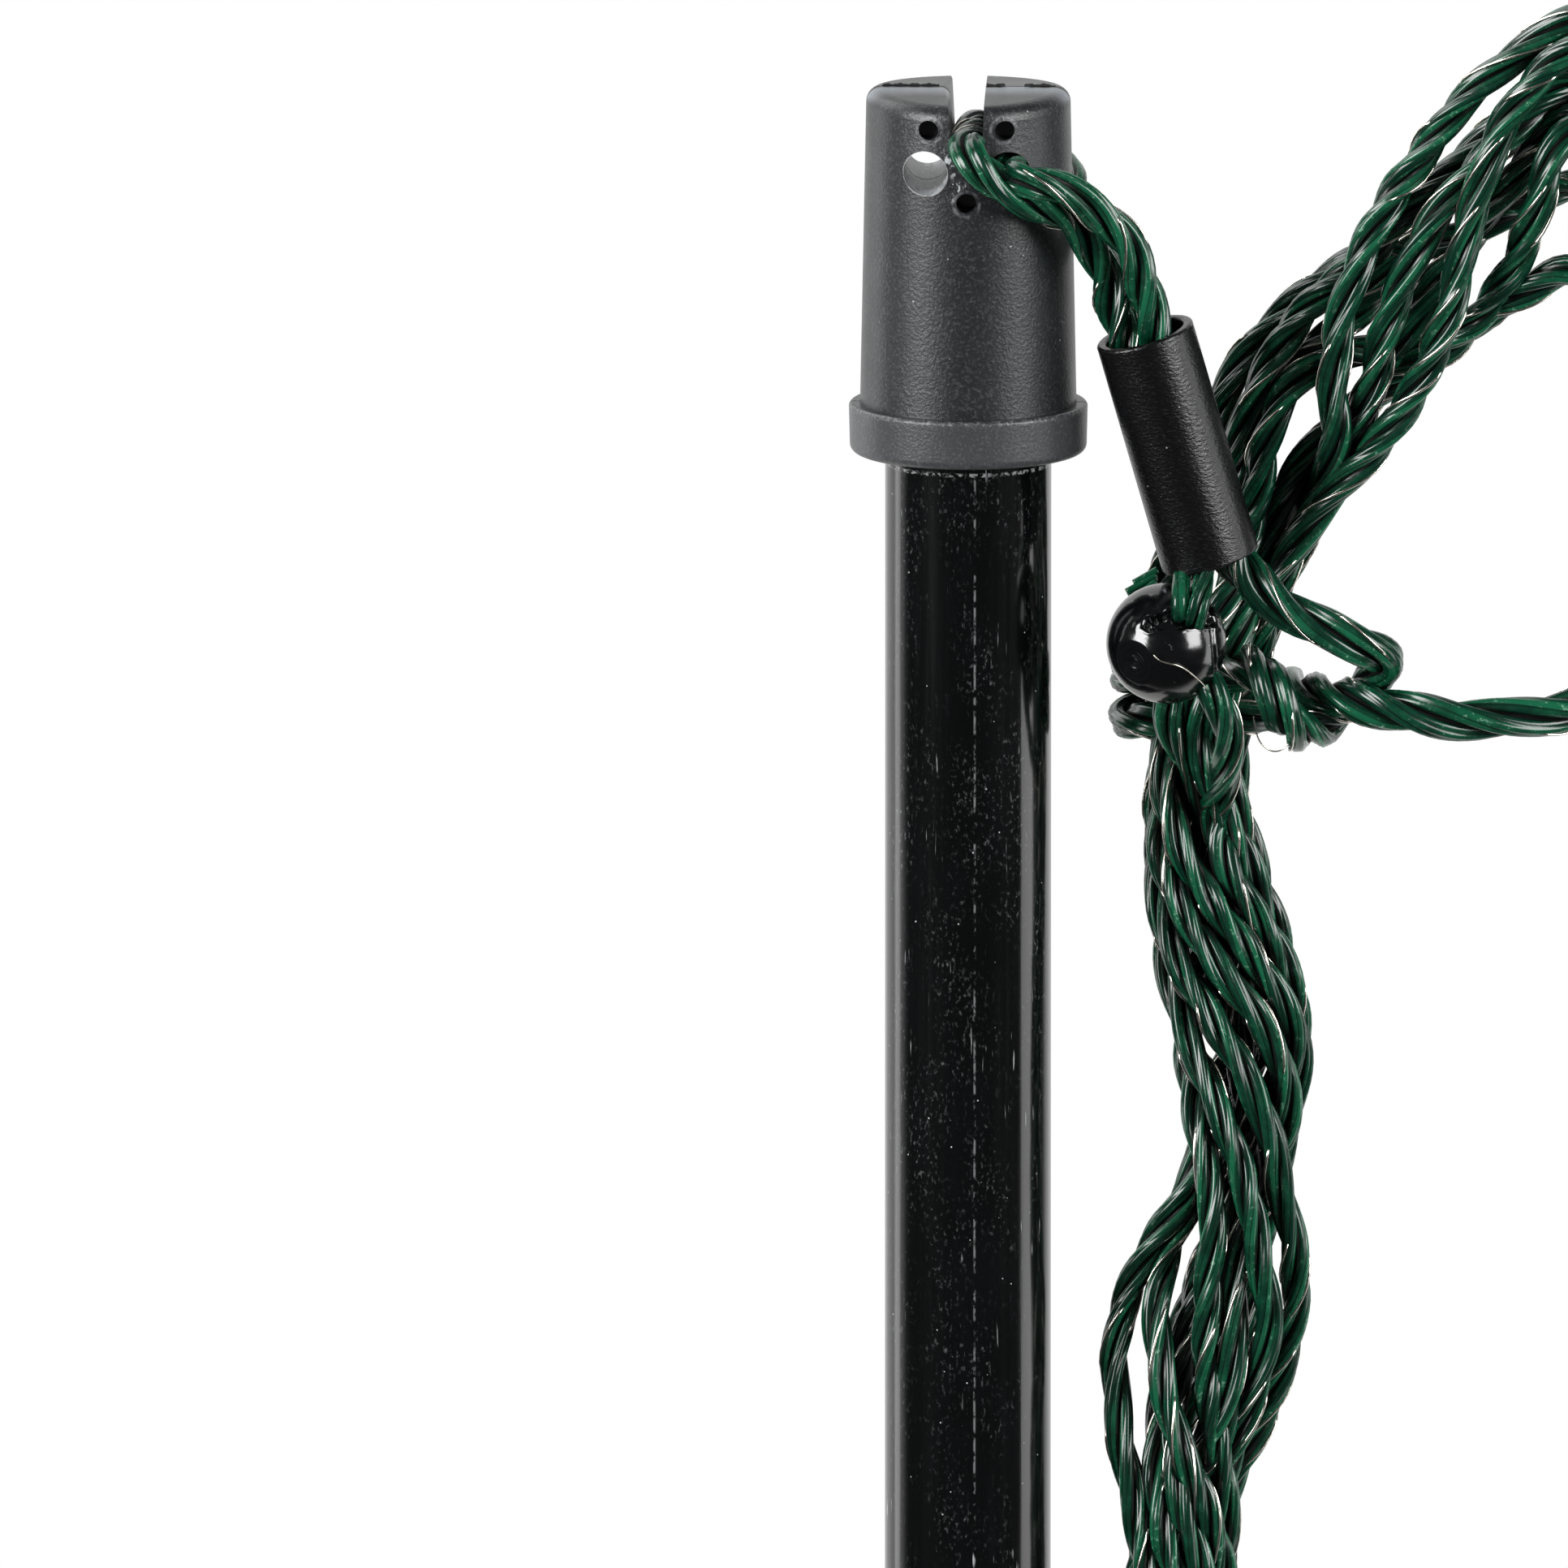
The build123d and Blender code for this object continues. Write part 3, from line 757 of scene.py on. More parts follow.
@dataclass
class Workshop:
    """The finishes of the post, each made once and handed to the pieces that take it."""

    made: dict[str, bpy.types.Material]

    def dress(self, node: str, key: str) -> None:
        """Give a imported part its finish.

        Args:
            node: The part's name.
            key: The finish.
        """
        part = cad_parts[node]
        if not part.material_slots:
            part.data.materials.append(None)
        for place in part.material_slots:
            place.material = self.made[key]
        LOG.info("%s takes %s", node, self.made[key].name)


@dataclass
class Centreline:
    """The smooth line down the middle of a cord.

    Attributes:
        name: What the cord is called.
        points: The points that lead its curve, in metres.
        girths: Its thickness at each of them, as a share of the full one.
        fineness: How many short lines each span of the curve is drawn with.
        fewest: The fewest steps along it.
    """

    name: str
    points: list[Point]
    girths: list[float]
    fineness: int = 10
    fewest: int = 8

    @classmethod
    def even(cls, name: str, route: Route, girth: float = 1.0) -> "Centreline":
        """Return the line of a cord that is as thick all along."""
        return cls(name, list(route), [girth] * len(route))

    def read(self) -> np.ndarray:
        """Draw the curve.

        Returns:
            Its points, close together.
        """
        curve = bpy.data.curves.new(self.name + "_line", "CURVE")
        curve.dimensions = "3D"
        curve.resolution_u = self.fineness
        spline = curve.splines.new("NURBS")
        spline.points.add(len(self.points) - 1)
        for made, place in zip(spline.points, self.points, strict=True):
            made.co = (*place, 1.0)
        spline.order_u = 3
        spline.use_endpoint_u = True
        holder = bpy.data.objects.new(self.name + "_line", curve)
        mesh = bpy.data.meshes.new_from_object(holder)
        line = np.array([v.co for v in mesh.vertices], float)
        bpy.data.objects.remove(holder)
        bpy.data.meshes.remove(mesh)
        bpy.data.curves.remove(curve)
        return line

    def rings(self, step: float) -> tuple[np.ndarray, np.ndarray, np.ndarray]:
        """Walk along the curve in even steps.

        Args:
            step: The length of a step, in metres.

        Returns:
            The places, how far along each is, and the thickness there as a share of the full one.
        """
        line = self.read()
        spans = np.linalg.norm(np.diff(line, axis=0), axis=1)
        along = np.concatenate([[0.0], np.cumsum(spans)])
        count = max(self.fewest, round(along[-1] / step))
        at = np.linspace(0.0, along[-1], count + 1)
        places = np.stack([np.interp(at, along, line[:, k]) for k in range(3)], axis=1)
        share = np.linspace(0.0, len(self.points) - 1.0, len(line))
        girth = np.interp(share, np.arange(len(self.girths)), self.girths)
        return places, at, np.interp(at, along, girth)


def carried_frames(places: np.ndarray) -> tuple[np.ndarray, np.ndarray, np.ndarray]:
    """Carry a cross-section along a line without twisting it.

    Args:
        places: The points of the line.

    Returns:
        At each point the direction of the line and two directions across it.
    """
    ahead = np.gradient(places, axis=0)
    ahead /= np.linalg.norm(ahead, axis=1, keepdims=True)
    side = np.zeros_like(ahead)
    # No line starts in the direction that this first cross-section is turned to.
    first = np.cross(ahead[0], [0.0, 1.0, 0.1])
    side[0] = first / np.linalg.norm(first)
    for i in range(1, len(places)):
        kept = side[i - 1] - ahead[i] * np.dot(side[i - 1], ahead[i])
        side[i] = kept / np.linalg.norm(kept)
    return ahead, side, np.cross(ahead, side)


@dataclass
class Tubes:
    """A mesh of many closed tubes, gathered before it is made."""

    points: list[np.ndarray] = field(default_factory=list)
    faces: list[np.ndarray] = field(default_factory=list)
    caps: list[list[int]] = field(default_factory=list)
    tints: list[np.ndarray] = field(default_factory=list)
    crowns_and_shade: list[np.ndarray] = field(default_factory=list)
    kinds: list[np.ndarray] = field(default_factory=list)
    cap_kinds: list[int] = field(default_factory=list)
    count: int = 0

    def add(self, rings: np.ndarray, tint_and_light: np.ndarray, crown_and_shade: np.ndarray, kind: int) -> None:
        """Add one tube.

        Args:
            rings: Its points, as rings by places round each ring by three.
            tint_and_light: The lightness of each point's filament, with painted light where it rises.
            crown_and_shade: How far each point stands out of the gaps, times the painted shade near the
                twine's middle and its neighbours.
            kind: The material's number on the piece.
        """
        long, round_ = rings.shape[:2]
        number = self.count + np.arange(long * round_).reshape(long, round_)
        over = np.roll(number, -1, axis=1)
        quads = np.stack([number[:-1], over[:-1], over[1:], number[1:]], axis=-1).reshape(-1, 4)
        self.points.append(rings.reshape(-1, 3))
        self.faces.append(quads)
        self.caps.append(number[0][::-1].tolist())
        self.caps.append(number[-1].tolist())
        self.tints.append(tint_and_light.reshape(-1))
        self.crowns_and_shade.append(crown_and_shade.reshape(-1))
        self.kinds.append(np.full(len(quads), kind, np.int32))
        self.cap_kinds += [kind, kind]
        self.count += long * round_

    def add_thin(self, middle: np.ndarray, radius: float, kind: int, around: int = 8) -> None:
        """Add a thin round wire or filament.

        Args:
            middle: The points of its middle.
            radius: Its radius, in metres.
            kind: The material's number on the piece.
            around: How many points each ring has.
        """
        _, side, up = carried_frames(middle)
        turn = np.arange(around) * 2 * math.pi / around
        ring = np.cos(turn)[None, :, None] * side[:, None, :] + np.sin(turn)[None, :, None] * up[:, None, :]
        rings = middle[:, None, :] + radius * ring
        plain = np.ones(rings.shape[:2])
        self.add(rings, plain, plain, kind)

    def make(self, name: str, materials: list[bpy.types.Material]) -> bpy.types.Object:
        """Make the piece.

        Args:
            name: The piece's name.
            materials: Its materials in order.

        Returns:
            The new object, in the scene.
        """
        points = np.concatenate(self.points)
        faces = np.concatenate(self.faces)
        loose = np.concatenate([np.array(c, np.int64) for c in self.caps])
        sizes = np.concatenate([np.full(len(faces), 4), [len(c) for c in self.caps]])
        mesh = bpy.data.meshes.new(name)
        mesh.vertices.add(len(points))
        mesh.vertices.foreach_set("co", points.astype(np.float32).ravel())
        corners = np.concatenate([faces.ravel(), loose])
        mesh.loops.add(len(corners))
        mesh.loops.foreach_set("vertex_index", corners.astype(np.int32))
        mesh.polygons.add(len(sizes))
        starts = np.concatenate([[0], np.cumsum(sizes)[:-1]])
        mesh.polygons.foreach_set("loop_start", starts.astype(np.int32))
        kinds = np.concatenate([*self.kinds, np.array(self.cap_kinds, np.int32)])
        mesh.polygons.foreach_set("material_index", kinds.astype(np.int32))
        mesh.update(calc_edges=True)
        mesh.validate()
        mesh.shade_smooth()
        for key, values in (("fibre_tint_and_light", self.tints), ("fibre_crown_and_shade", self.crowns_and_shade)):
            kept = mesh.attributes.new(key, "FLOAT", "POINT")
            kept.data.foreach_set("value", np.concatenate(values).astype(np.float32))
        for material in materials:
            mesh.materials.append(material)
        return place_in_scene(name, mesh)


@dataclass
class StrandPath:
    """The way of one strand.

    Attributes:
        along: How far along the twine each ring is, in metres.
        girth: The thickness there, as a share of the full one.
        centre: The strand's middle.
        out: The direction away from the twine's middle.
        across: The direction across that.
    """

    along: np.ndarray
    girth: np.ndarray
    centre: np.ndarray
    out: np.ndarray
    across: np.ndarray


@dataclass
class TwistedTwine:
    """Three-strand conductive twine: green filaments, with a bright steel wire in each strand.

    Attributes:
        pitch: The length in which a strand goes round once, in metres as all lengths here.
        filaments: How many filaments show round a strand.
        back_twist: A strand's own turns in one pitch.
        strand_share: A strand's thickness, as a share of the twine's.
        offset_share: How far a strand's middle is from the twine's, as a share of its thickness.
        oval: How much wider than deep a strand is.
        wobble: The uneven turn that handling leaves, in radians, and the lengths that it repeats in.
        drift: How far a filament rises and sinks, as a share of the strand, and in which lengths.
        proud: How far a whole filament stands in or out, as a share of the strand.
        wire_shown: The shortest and the longest stretch of wire at a strand's surface.
        wire_hidden: The shortest and the longest way between two stretches.
        own_reach: How far along the twine a point still belongs to the same run.
        neighbour_radius: The radius that another run shades with.
        neighbour_every: One in how many points of another run is looked at.
        section: For each point of a filament its place across, its height, and how much light it gets.
        places: The points of the middle, once the twine is made.
    """

    name: str
    line: Centreline
    seed: int
    diameter: float = TWINE_DIAMETER
    pitch: float = 0.0188
    lay: Lay = Lay.RIGHT_HAND
    filaments: int = 6
    back_twist: float = -0.42
    ring_step: float = 0.0008
    strand_share: float = 0.464
    offset_share: float = 0.268
    oval: float = 1.05
    wobble: tuple[float, tuple[float, ...]] = (0.3, (0.031, 0.067, 0.12))
    drift: tuple[float, tuple[float, ...]] = (0.03, (0.006, 0.0113, 0.023))
    proud: tuple[float, float] = (-0.05, 0.07)
    wire_radius: float = 0.000115
    wire_shown: tuple[float, float] = (0.005, 0.011)
    wire_hidden: tuple[float, float] = (0.003, 0.016)
    wire_margin: float = 0.012
    own_reach: float = 0.0048
    neighbour_radius: float = 0.0013
    neighbour_reach: float = 0.0056
    neighbour_count: int = 24
    neighbour_every: int = 3
    section: tuple[Point, ...] = (
        (0.0, 0.86, 0.0), (0.16, 0.95, 0.7), (0.5, 1.02, 1.0), (0.84, 0.95, 0.7),
    )
    places: np.ndarray | None = None

    @property
    def strand_radius(self) -> float:
        """Return the radius of one strand."""
        return self.diameter * self.strand_share / 2

    def build(self, materials: list[bpy.types.Material]) -> bpy.types.Object:
        """Twist the strands along the line.

        Args:
            materials: The filaments' material and the wire's.

        Returns:
            The twine as one piece.
        """
        rng = np.random.default_rng(self.seed)
        self.places, along, girth = self.line.rings(self.ring_step)
        _, side, up = carried_frames(self.places)
        tubes = Tubes()
        beside = self.beside(along)
        wobble = self.slow_wobble(rng, along)
        for strand in range(STRAND_COUNT):
            turn = self.lay.value * 2 * math.pi * (along / self.pitch) + wobble
            turn = turn + 2 * math.pi * strand / STRAND_COUNT
            out = np.cos(turn)[:, None] * side + np.sin(turn)[:, None] * up
            across = -np.sin(turn)[:, None] * side + np.cos(turn)[:, None] * up
            centre = self.places + (self.diameter * self.offset_share * girth)[:, None] * out
            path = StrandPath(along, girth, centre, out, across)
            self.add_strand(tubes, rng, path, beside)
            self.add_wire(tubes, rng, path)
        piece = tubes.make(self.name, materials)
        LOG.info("%s: %.3f m of twine, %d points", self.name, along[-1], tubes.count)
        return piece

    def slow_wobble(self, rng: np.random.Generator, along: np.ndarray) -> np.ndarray:
        """Make the small uneven turn that handling leaves in the lay.

        Args:
            rng: The source of its unevenness.
            along: How far along each ring is.

        Returns:
            The turn at each ring, in radians.
        """
        most, lengths = self.wobble
        total = np.zeros_like(along)
        for length in lengths:
            total += most * np.sin(2 * math.pi * along / length + rng.uniform(0, 2 * math.pi))
        return total

    def beside(self, along: np.ndarray) -> np.ndarray:
        """Find the other runs that lie beside each place.

        Args:
            along: How far along each place is.

        Returns:
            For each place the nearest points of other runs, padded with points far away.
        """
        every = self.neighbour_every
        tree = KDTree(len(self.places[::every]))
        for number, place in enumerate(self.places[::every]):
            tree.insert(place, number)
        tree.balance()
        found = np.full((len(self.places), self.neighbour_count, 3), FAR_AWAY)
        for row, place in enumerate(self.places):
            near = sorted(tree.find_range(place, self.neighbour_reach), key=lambda item: item[2])
            others = [item[0] for item in near if abs(along[item[1] * every] - along[row]) > self.own_reach]
            for column, other in enumerate(others[: self.neighbour_count]):
                found[row, column] = other
        return found

    def open_sky(self, rings: np.ndarray, centre: np.ndarray, beside: np.ndarray) -> np.ndarray:
        """Work out how much of the light the neighbouring runs leave for each point.

        Args:
            rings: The strand's points.
            centre: The strand's middle.
            beside: The nearest points of other runs.

        Returns:
            One where nothing shades the point, falling to nought where runs press together.
        """
        deepest, past_edge = 0.92, 0.15
        outward = rings - centre[:, None, :]
        outward /= np.linalg.norm(outward, axis=2, keepdims=True)
        sky = np.ones(rings.shape[:2])
        for column in range(beside.shape[1]):
            toward = beside[:, None, column, :] - rings
            far = np.linalg.norm(toward, axis=2)
            lean = np.einsum("ijk,ijk->ij", outward, toward) / far
            cover = np.minimum(1.0, (self.neighbour_radius / far) ** 2)
            sky *= 1.0 - deepest * cover * np.clip((lean + past_edge) / (1.0 + past_edge), 0.0, 1.0)
        return sky

    def add_strand(
        self,
        tubes: Tubes,
        rng: np.random.Generator,
        path: StrandPath,
        beside: np.ndarray,
    ) -> None:
        """Add one strand as a ribbed tube, a rib for each filament that shows.

        Args:
            tubes: The mesh so far.
            rng: The source of its unevenness.
            path: The strand's way.
            beside: The nearest points of other runs.
        """
        part = np.tile(np.array(self.section), (self.filaments, 1))
        lobe = np.arange(len(part)) // len(self.section)
        crown_and_shade = part[:, 2]
        angle = 2 * math.pi * (lobe + part[:, 0]) / self.filaments
        tints = rng.uniform(0.0, 1.0, self.filaments)[lobe]
        proud = rng.uniform(*self.proud, self.filaments)[lobe] * crown_and_shade
        twist = self.back_twist * 2 * math.pi * path.along / self.pitch * self.lay.value
        turned = angle[None, :] + twist[:, None]
        loose = self.filament_drift(rng, path.along)[:, lobe]
        shape = part[None, :, 1] + proud[None, :] + loose * crown_and_shade
        radius = self.strand_radius * path.girth[:, None] * shape
        rings = (
            path.centre[:, None, :]
            + (radius * np.cos(turned))[:, :, None] * path.out[:, None, :]
            + (radius * self.oval * np.sin(turned))[:, :, None] * path.across[:, None, :]
        )
        whole = (len(path.along), len(part))
        # Painted light and shade: a filament is painted lighter where it rises, and painted darker in its
        # grooves, toward the twine's middle and toward its neighbours, where shade falls.
        fade = np.clip(0.5 + 4.0 * loose, 0.0, 1.0)
        open_to_light = np.clip((np.cos(turned) + 0.62) / 0.65, 0.0, 1.0)
        sky = np.clip((self.open_sky(rings, path.centre, beside) - 0.3) / 0.45, 0.0, 1.0)
        tubes.add(
            rings,
            np.clip(np.broadcast_to(tints, whole) * 0.8 + 0.2 * fade, 0.0, 1.0),
            np.broadcast_to(0.34 + 0.66 * crown_and_shade, whole) * open_to_light * sky,
            0,
        )

    def filament_drift(self, rng: np.random.Generator, along: np.ndarray) -> np.ndarray:
        """Let each filament rise and sink along the strand.

        Args:
            rng: The source of its unevenness.
            along: How far along each ring is.

        Returns:
            The rise of each filament at each ring, as a share of the strand's radius.
        """
        most, lengths = self.drift
        total = np.zeros((len(along), self.filaments))
        for length in lengths:
            start = rng.uniform(0, 2 * math.pi, self.filaments)
            total += most * np.sin(2 * math.pi * along[:, None] / length + start[None, :])
        return total

    def add_wire(self, tubes: Tubes, rng: np.random.Generator, path: StrandPath) -> None:
        """Add the lengths of steel wire that come to a strand's surface.

        Args:
            tubes: The mesh so far.
            rng: The source of their places.
            path: The strand's way.
        """
        along = path.along
        here = rng.uniform(0.0, self.wire_margin)
        while here < along[-1] - self.wire_margin:
            long = rng.uniform(*self.wire_shown)
            inside = np.flatnonzero((along >= here) & (along <= here + long))
            here += long + rng.uniform(*self.wire_hidden)
            if len(inside) < 4:
                continue
            share = (along[inside] - along[inside[0]]) / (along[inside[-1]] - along[inside[0]])
            # It lies a little proud of the filaments, and dives between them at both ends.
            dip = 1.08 - 0.24 * np.abs(2 * share - 1) ** 5
            angle = rng.uniform(-1.0, 1.0) + rng.uniform(-0.5, 0.5) * (share - 0.5)
            reach = (self.strand_radius * path.girth[inside] * dip)[:, None]
            away = np.cos(angle)[:, None] * path.out[inside] + np.sin(angle)[:, None] * path.across[inside]
            tubes.add_thin(path.centre[inside] + reach * away, self.wire_radius, 1)


@dataclass
class LowerHank:
    """The ten runs below the wrap, twisted round each other and tied near the foot.

    Lengths are in metres, angles in degrees, and a twist is the angle in each metre of height.

    Attributes:
        levels: For each height the middle of the bundle and its two half widths.
        ring_starts: Where each outer run stands at the waist.
        core_starts: Where each inner run stands there.
        wrap_height: The height under which a run starts.
        starts_below: The same for the runs that start lower.
        spindle: The place of each run at the spindle's heights, from the waist down to the tie.
        order: The runs in their order round the foot.
        foot_levels: For each height near the foot the bundle's middle and its two half widths.
        inner_runs: The runs that the tie presses to the middle.
        inner_share: How far from it they are, as a share of the others' way.
        inner_above: The height down to which they stay there.
        fold_half: The two half widths of a fold.
        fold_slack: How much wider the leading points are than the curve that they give.
    """

    twist: float = 360.0 / 0.058
    waist: float = 0.556
    levels: tuple[tuple[float, float, float, float, float], ...] = (
        (0.556, 0.0229, 0.0030, 0.0037, 0.0041),
        (0.562, 0.0232, 0.0033, 0.0044, 0.0041),
        (0.570, 0.0231, 0.0040, 0.0056, 0.0039),
        (0.578, 0.0207, 0.0048, 0.0053, 0.0039),
        (0.586, 0.0192, 0.0056, 0.0038, 0.0036),
        (0.594, 0.0194, 0.0062, 0.0031, 0.0037),
    )
    ring_starts: dict[str, float] = field(
        default_factory=lambda: {
            "a": 190.0, "b": 125.0, "c": 75.0, "d": 25.0,
            "e": -20.0, "f": -60.0, "g": -100.0, "j": -140.0,
        }
    )
    core_starts: dict[str, float] = field(default_factory=lambda: {"h": 215.0, "i": 35.0})
    core_radius: float = 0.0012
    wrap_height: float = 0.595
    starts_below: dict[str, float] = field(default_factory=lambda: {"h": 0.592, "g": 0.584})
    upper_heights: tuple[float, ...] = (0.5942, 0.589, 0.583, 0.576, 0.569, 0.562)
    spindle_heights: tuple[float, ...] = (0.556, 0.549, 0.543, 0.536, 0.529, 0.521)
    spindle: dict[str, tuple[tuple[float, float], ...]] = field(
        default_factory=lambda: {
            "a": ((0.0192, 0.0036), (0.0144, 0.0034), (0.0123, 0.0030),
                  (0.0125, 0.0012), (0.0140, 0.0006), (0.0154, -0.0004)),
            "b": ((0.0208, -0.0004), (0.0204, -0.0003), (0.0199, 0.0002),
                  (0.0205, 0.0008), (0.0219, 0.0010), (0.0214, 0.0044)),
            "c": ((0.0236, -0.0006), (0.0248, -0.0006), (0.0256, 0.0006),
                  (0.0234, 0.0020), (0.0208, 0.0036), (0.0172, 0.0034)),
            "d": ((0.0263, 0.0012), (0.0278, 0.0024), (0.0274, 0.0036),
                  (0.0252, 0.0048), (0.0216, 0.0050), (0.0190, 0.0062)),
            "e": ((0.0256, 0.0046), (0.0243, 0.0064), (0.0234, 0.0066),
                  (0.0214, 0.0064), (0.0182, 0.0062), (0.0156, 0.0064)),
            "f": ((0.0246, 0.0062), (0.0222, 0.0070), (0.0206, 0.0072),
                  (0.0186, 0.0066), (0.0154, 0.0046), (0.0140, 0.0038)),
            "g": ((0.0224, 0.0066), (0.0201, 0.0064), (0.0179, 0.0060),
                  (0.0160, 0.0035), (0.0158, -0.0006), (0.0182, -0.0012)),
            "h": ((0.0217, 0.0034), (0.0202, 0.0038), (0.0182, 0.0032),
                  (0.0172, 0.0022), (0.0178, -0.0014), (0.0206, -0.0006)),
            "i": ((0.0234, 0.0022), (0.0225, 0.0012), (0.0224, 0.0002),
                  (0.0220, 0.0008), (0.0186, 0.0018), (0.0190, 0.0024)),
            "j": ((0.0198, 0.0056), (0.0162, 0.0032), (0.0158, 0.0008),
                  (0.0170, -0.0009), (0.0202, -0.0012), (0.0220, 0.0018)),
        }
    )
    order: str = "aghijbdecf"
    foot_levels: tuple[tuple[float, float, float, float, float], ...] = (
        (0.5135, 0.0185, 0.0030, 0.0039, 0.0042),
        (0.5060, 0.0188, 0.0032, 0.0035, 0.0042),
        (0.4990, 0.0188, 0.0033, 0.0038, 0.0045),
        (0.4920, 0.0187, 0.0034, 0.0058, 0.0051),
    )
    foot_twist: float = 3600.0
    foot_start: float = -128.0
    foot_gap: float = 36.0
    inner_runs: str = "ci"
    inner_share: float = 0.32
    inner_above: float = 0.495
    fold_base: float = 0.4722
    fold_step: float = 0.0033
    fold_radius: float = 0.0060
    fold_half: tuple[float, float] = (0.0061, 0.0053)
    fold_slack: float = 1.03

    def at(self, name: str, height: float) -> Point:
        """Return where a run crosses a height above the waist.

        Args:
            name: The run.
            height: The height, in metres.

        Returns:
            The place of its middle.
        """
        table = np.array(self.levels)
        x, y, wide, deep = (float(np.interp(height, table[:, 0], table[:, k])) for k in (1, 2, 3, 4))
        if name in self.core_starts:
            wide = deep = self.core_radius
        start = (self.core_starts | self.ring_starts)[name]
        turn = math.radians(start + self.twist * (height - self.waist))
        return (x + wide * math.cos(turn), y - deep * math.sin(turn), height)

    def foot_turn(self, name: str, height: float) -> float:
        """Return a run's angle round the middle, below the spindle."""
        start = self.foot_start + self.foot_gap * self.order.index(name)
        return math.radians(start + self.foot_twist * (self.spindle_heights[-1] - height))

    def down(self, name: str) -> Route:
        """Lead a run from the wrap to the foot.

        Args:
            name: The run.

        Returns:
            Its points, highest first.
        """
        first = self.starts_below.get(name, self.wrap_height)
        points = [self.at(name, z) for z in self.upper_heights if z < first]
        points += [(x, y, z) for (x, y), z in zip(self.spindle[name], self.spindle_heights, strict=True)]
        for z, x, y, wide, deep in self.foot_levels:
            turn = self.foot_turn(name, z)
            inner = self.inner_share if name in self.inner_runs and z > self.inner_above else 1.0
            points.append((x + inner * wide * math.cos(turn), y + inner * deep * math.sin(turn), z))
        return tuple(points)

    def fold(self, name: str, level: int) -> Route:
        """Turn a run back up at the foot.

        Args:
            name: The run that comes down.
            level: How many folds lie under this one.

        Returns:
            The points of the turn.
        """
        height, x, y = self.foot_levels[-1][:3]
        turn = self.foot_turn(name, height)
        middle = self.fold_base + self.fold_step * level + self.fold_radius
        wide = self.fold_slack * self.fold_half[0] * math.cos(turn)
        deep = self.fold_slack * self.fold_half[1] * math.sin(turn)
        points = []
        for degrees in range(15, 180, 30):
            swing = math.radians(degrees)
            across, drop = math.cos(swing), self.fold_slack * self.fold_radius * math.sin(swing)
            points.append((x + wide * across, y + deep * across, middle - drop))
        return tuple(points)


@dataclass(frozen=True)
class Bight:
    """One doubled length of the hank.

    Attributes:
        loop: The loop at the top that leads into it.
        fan_in: The way from there to the wrap.
        down: The run that goes down.
        up: The run that comes back up.
        level: How many folds lie under its own.
        fan_out: The way that it leaves the wrap by, from the far end.
    """

    loop: Route
    fan_in: Route
    down: str
    up: str
    level: int
    fan_out: Route


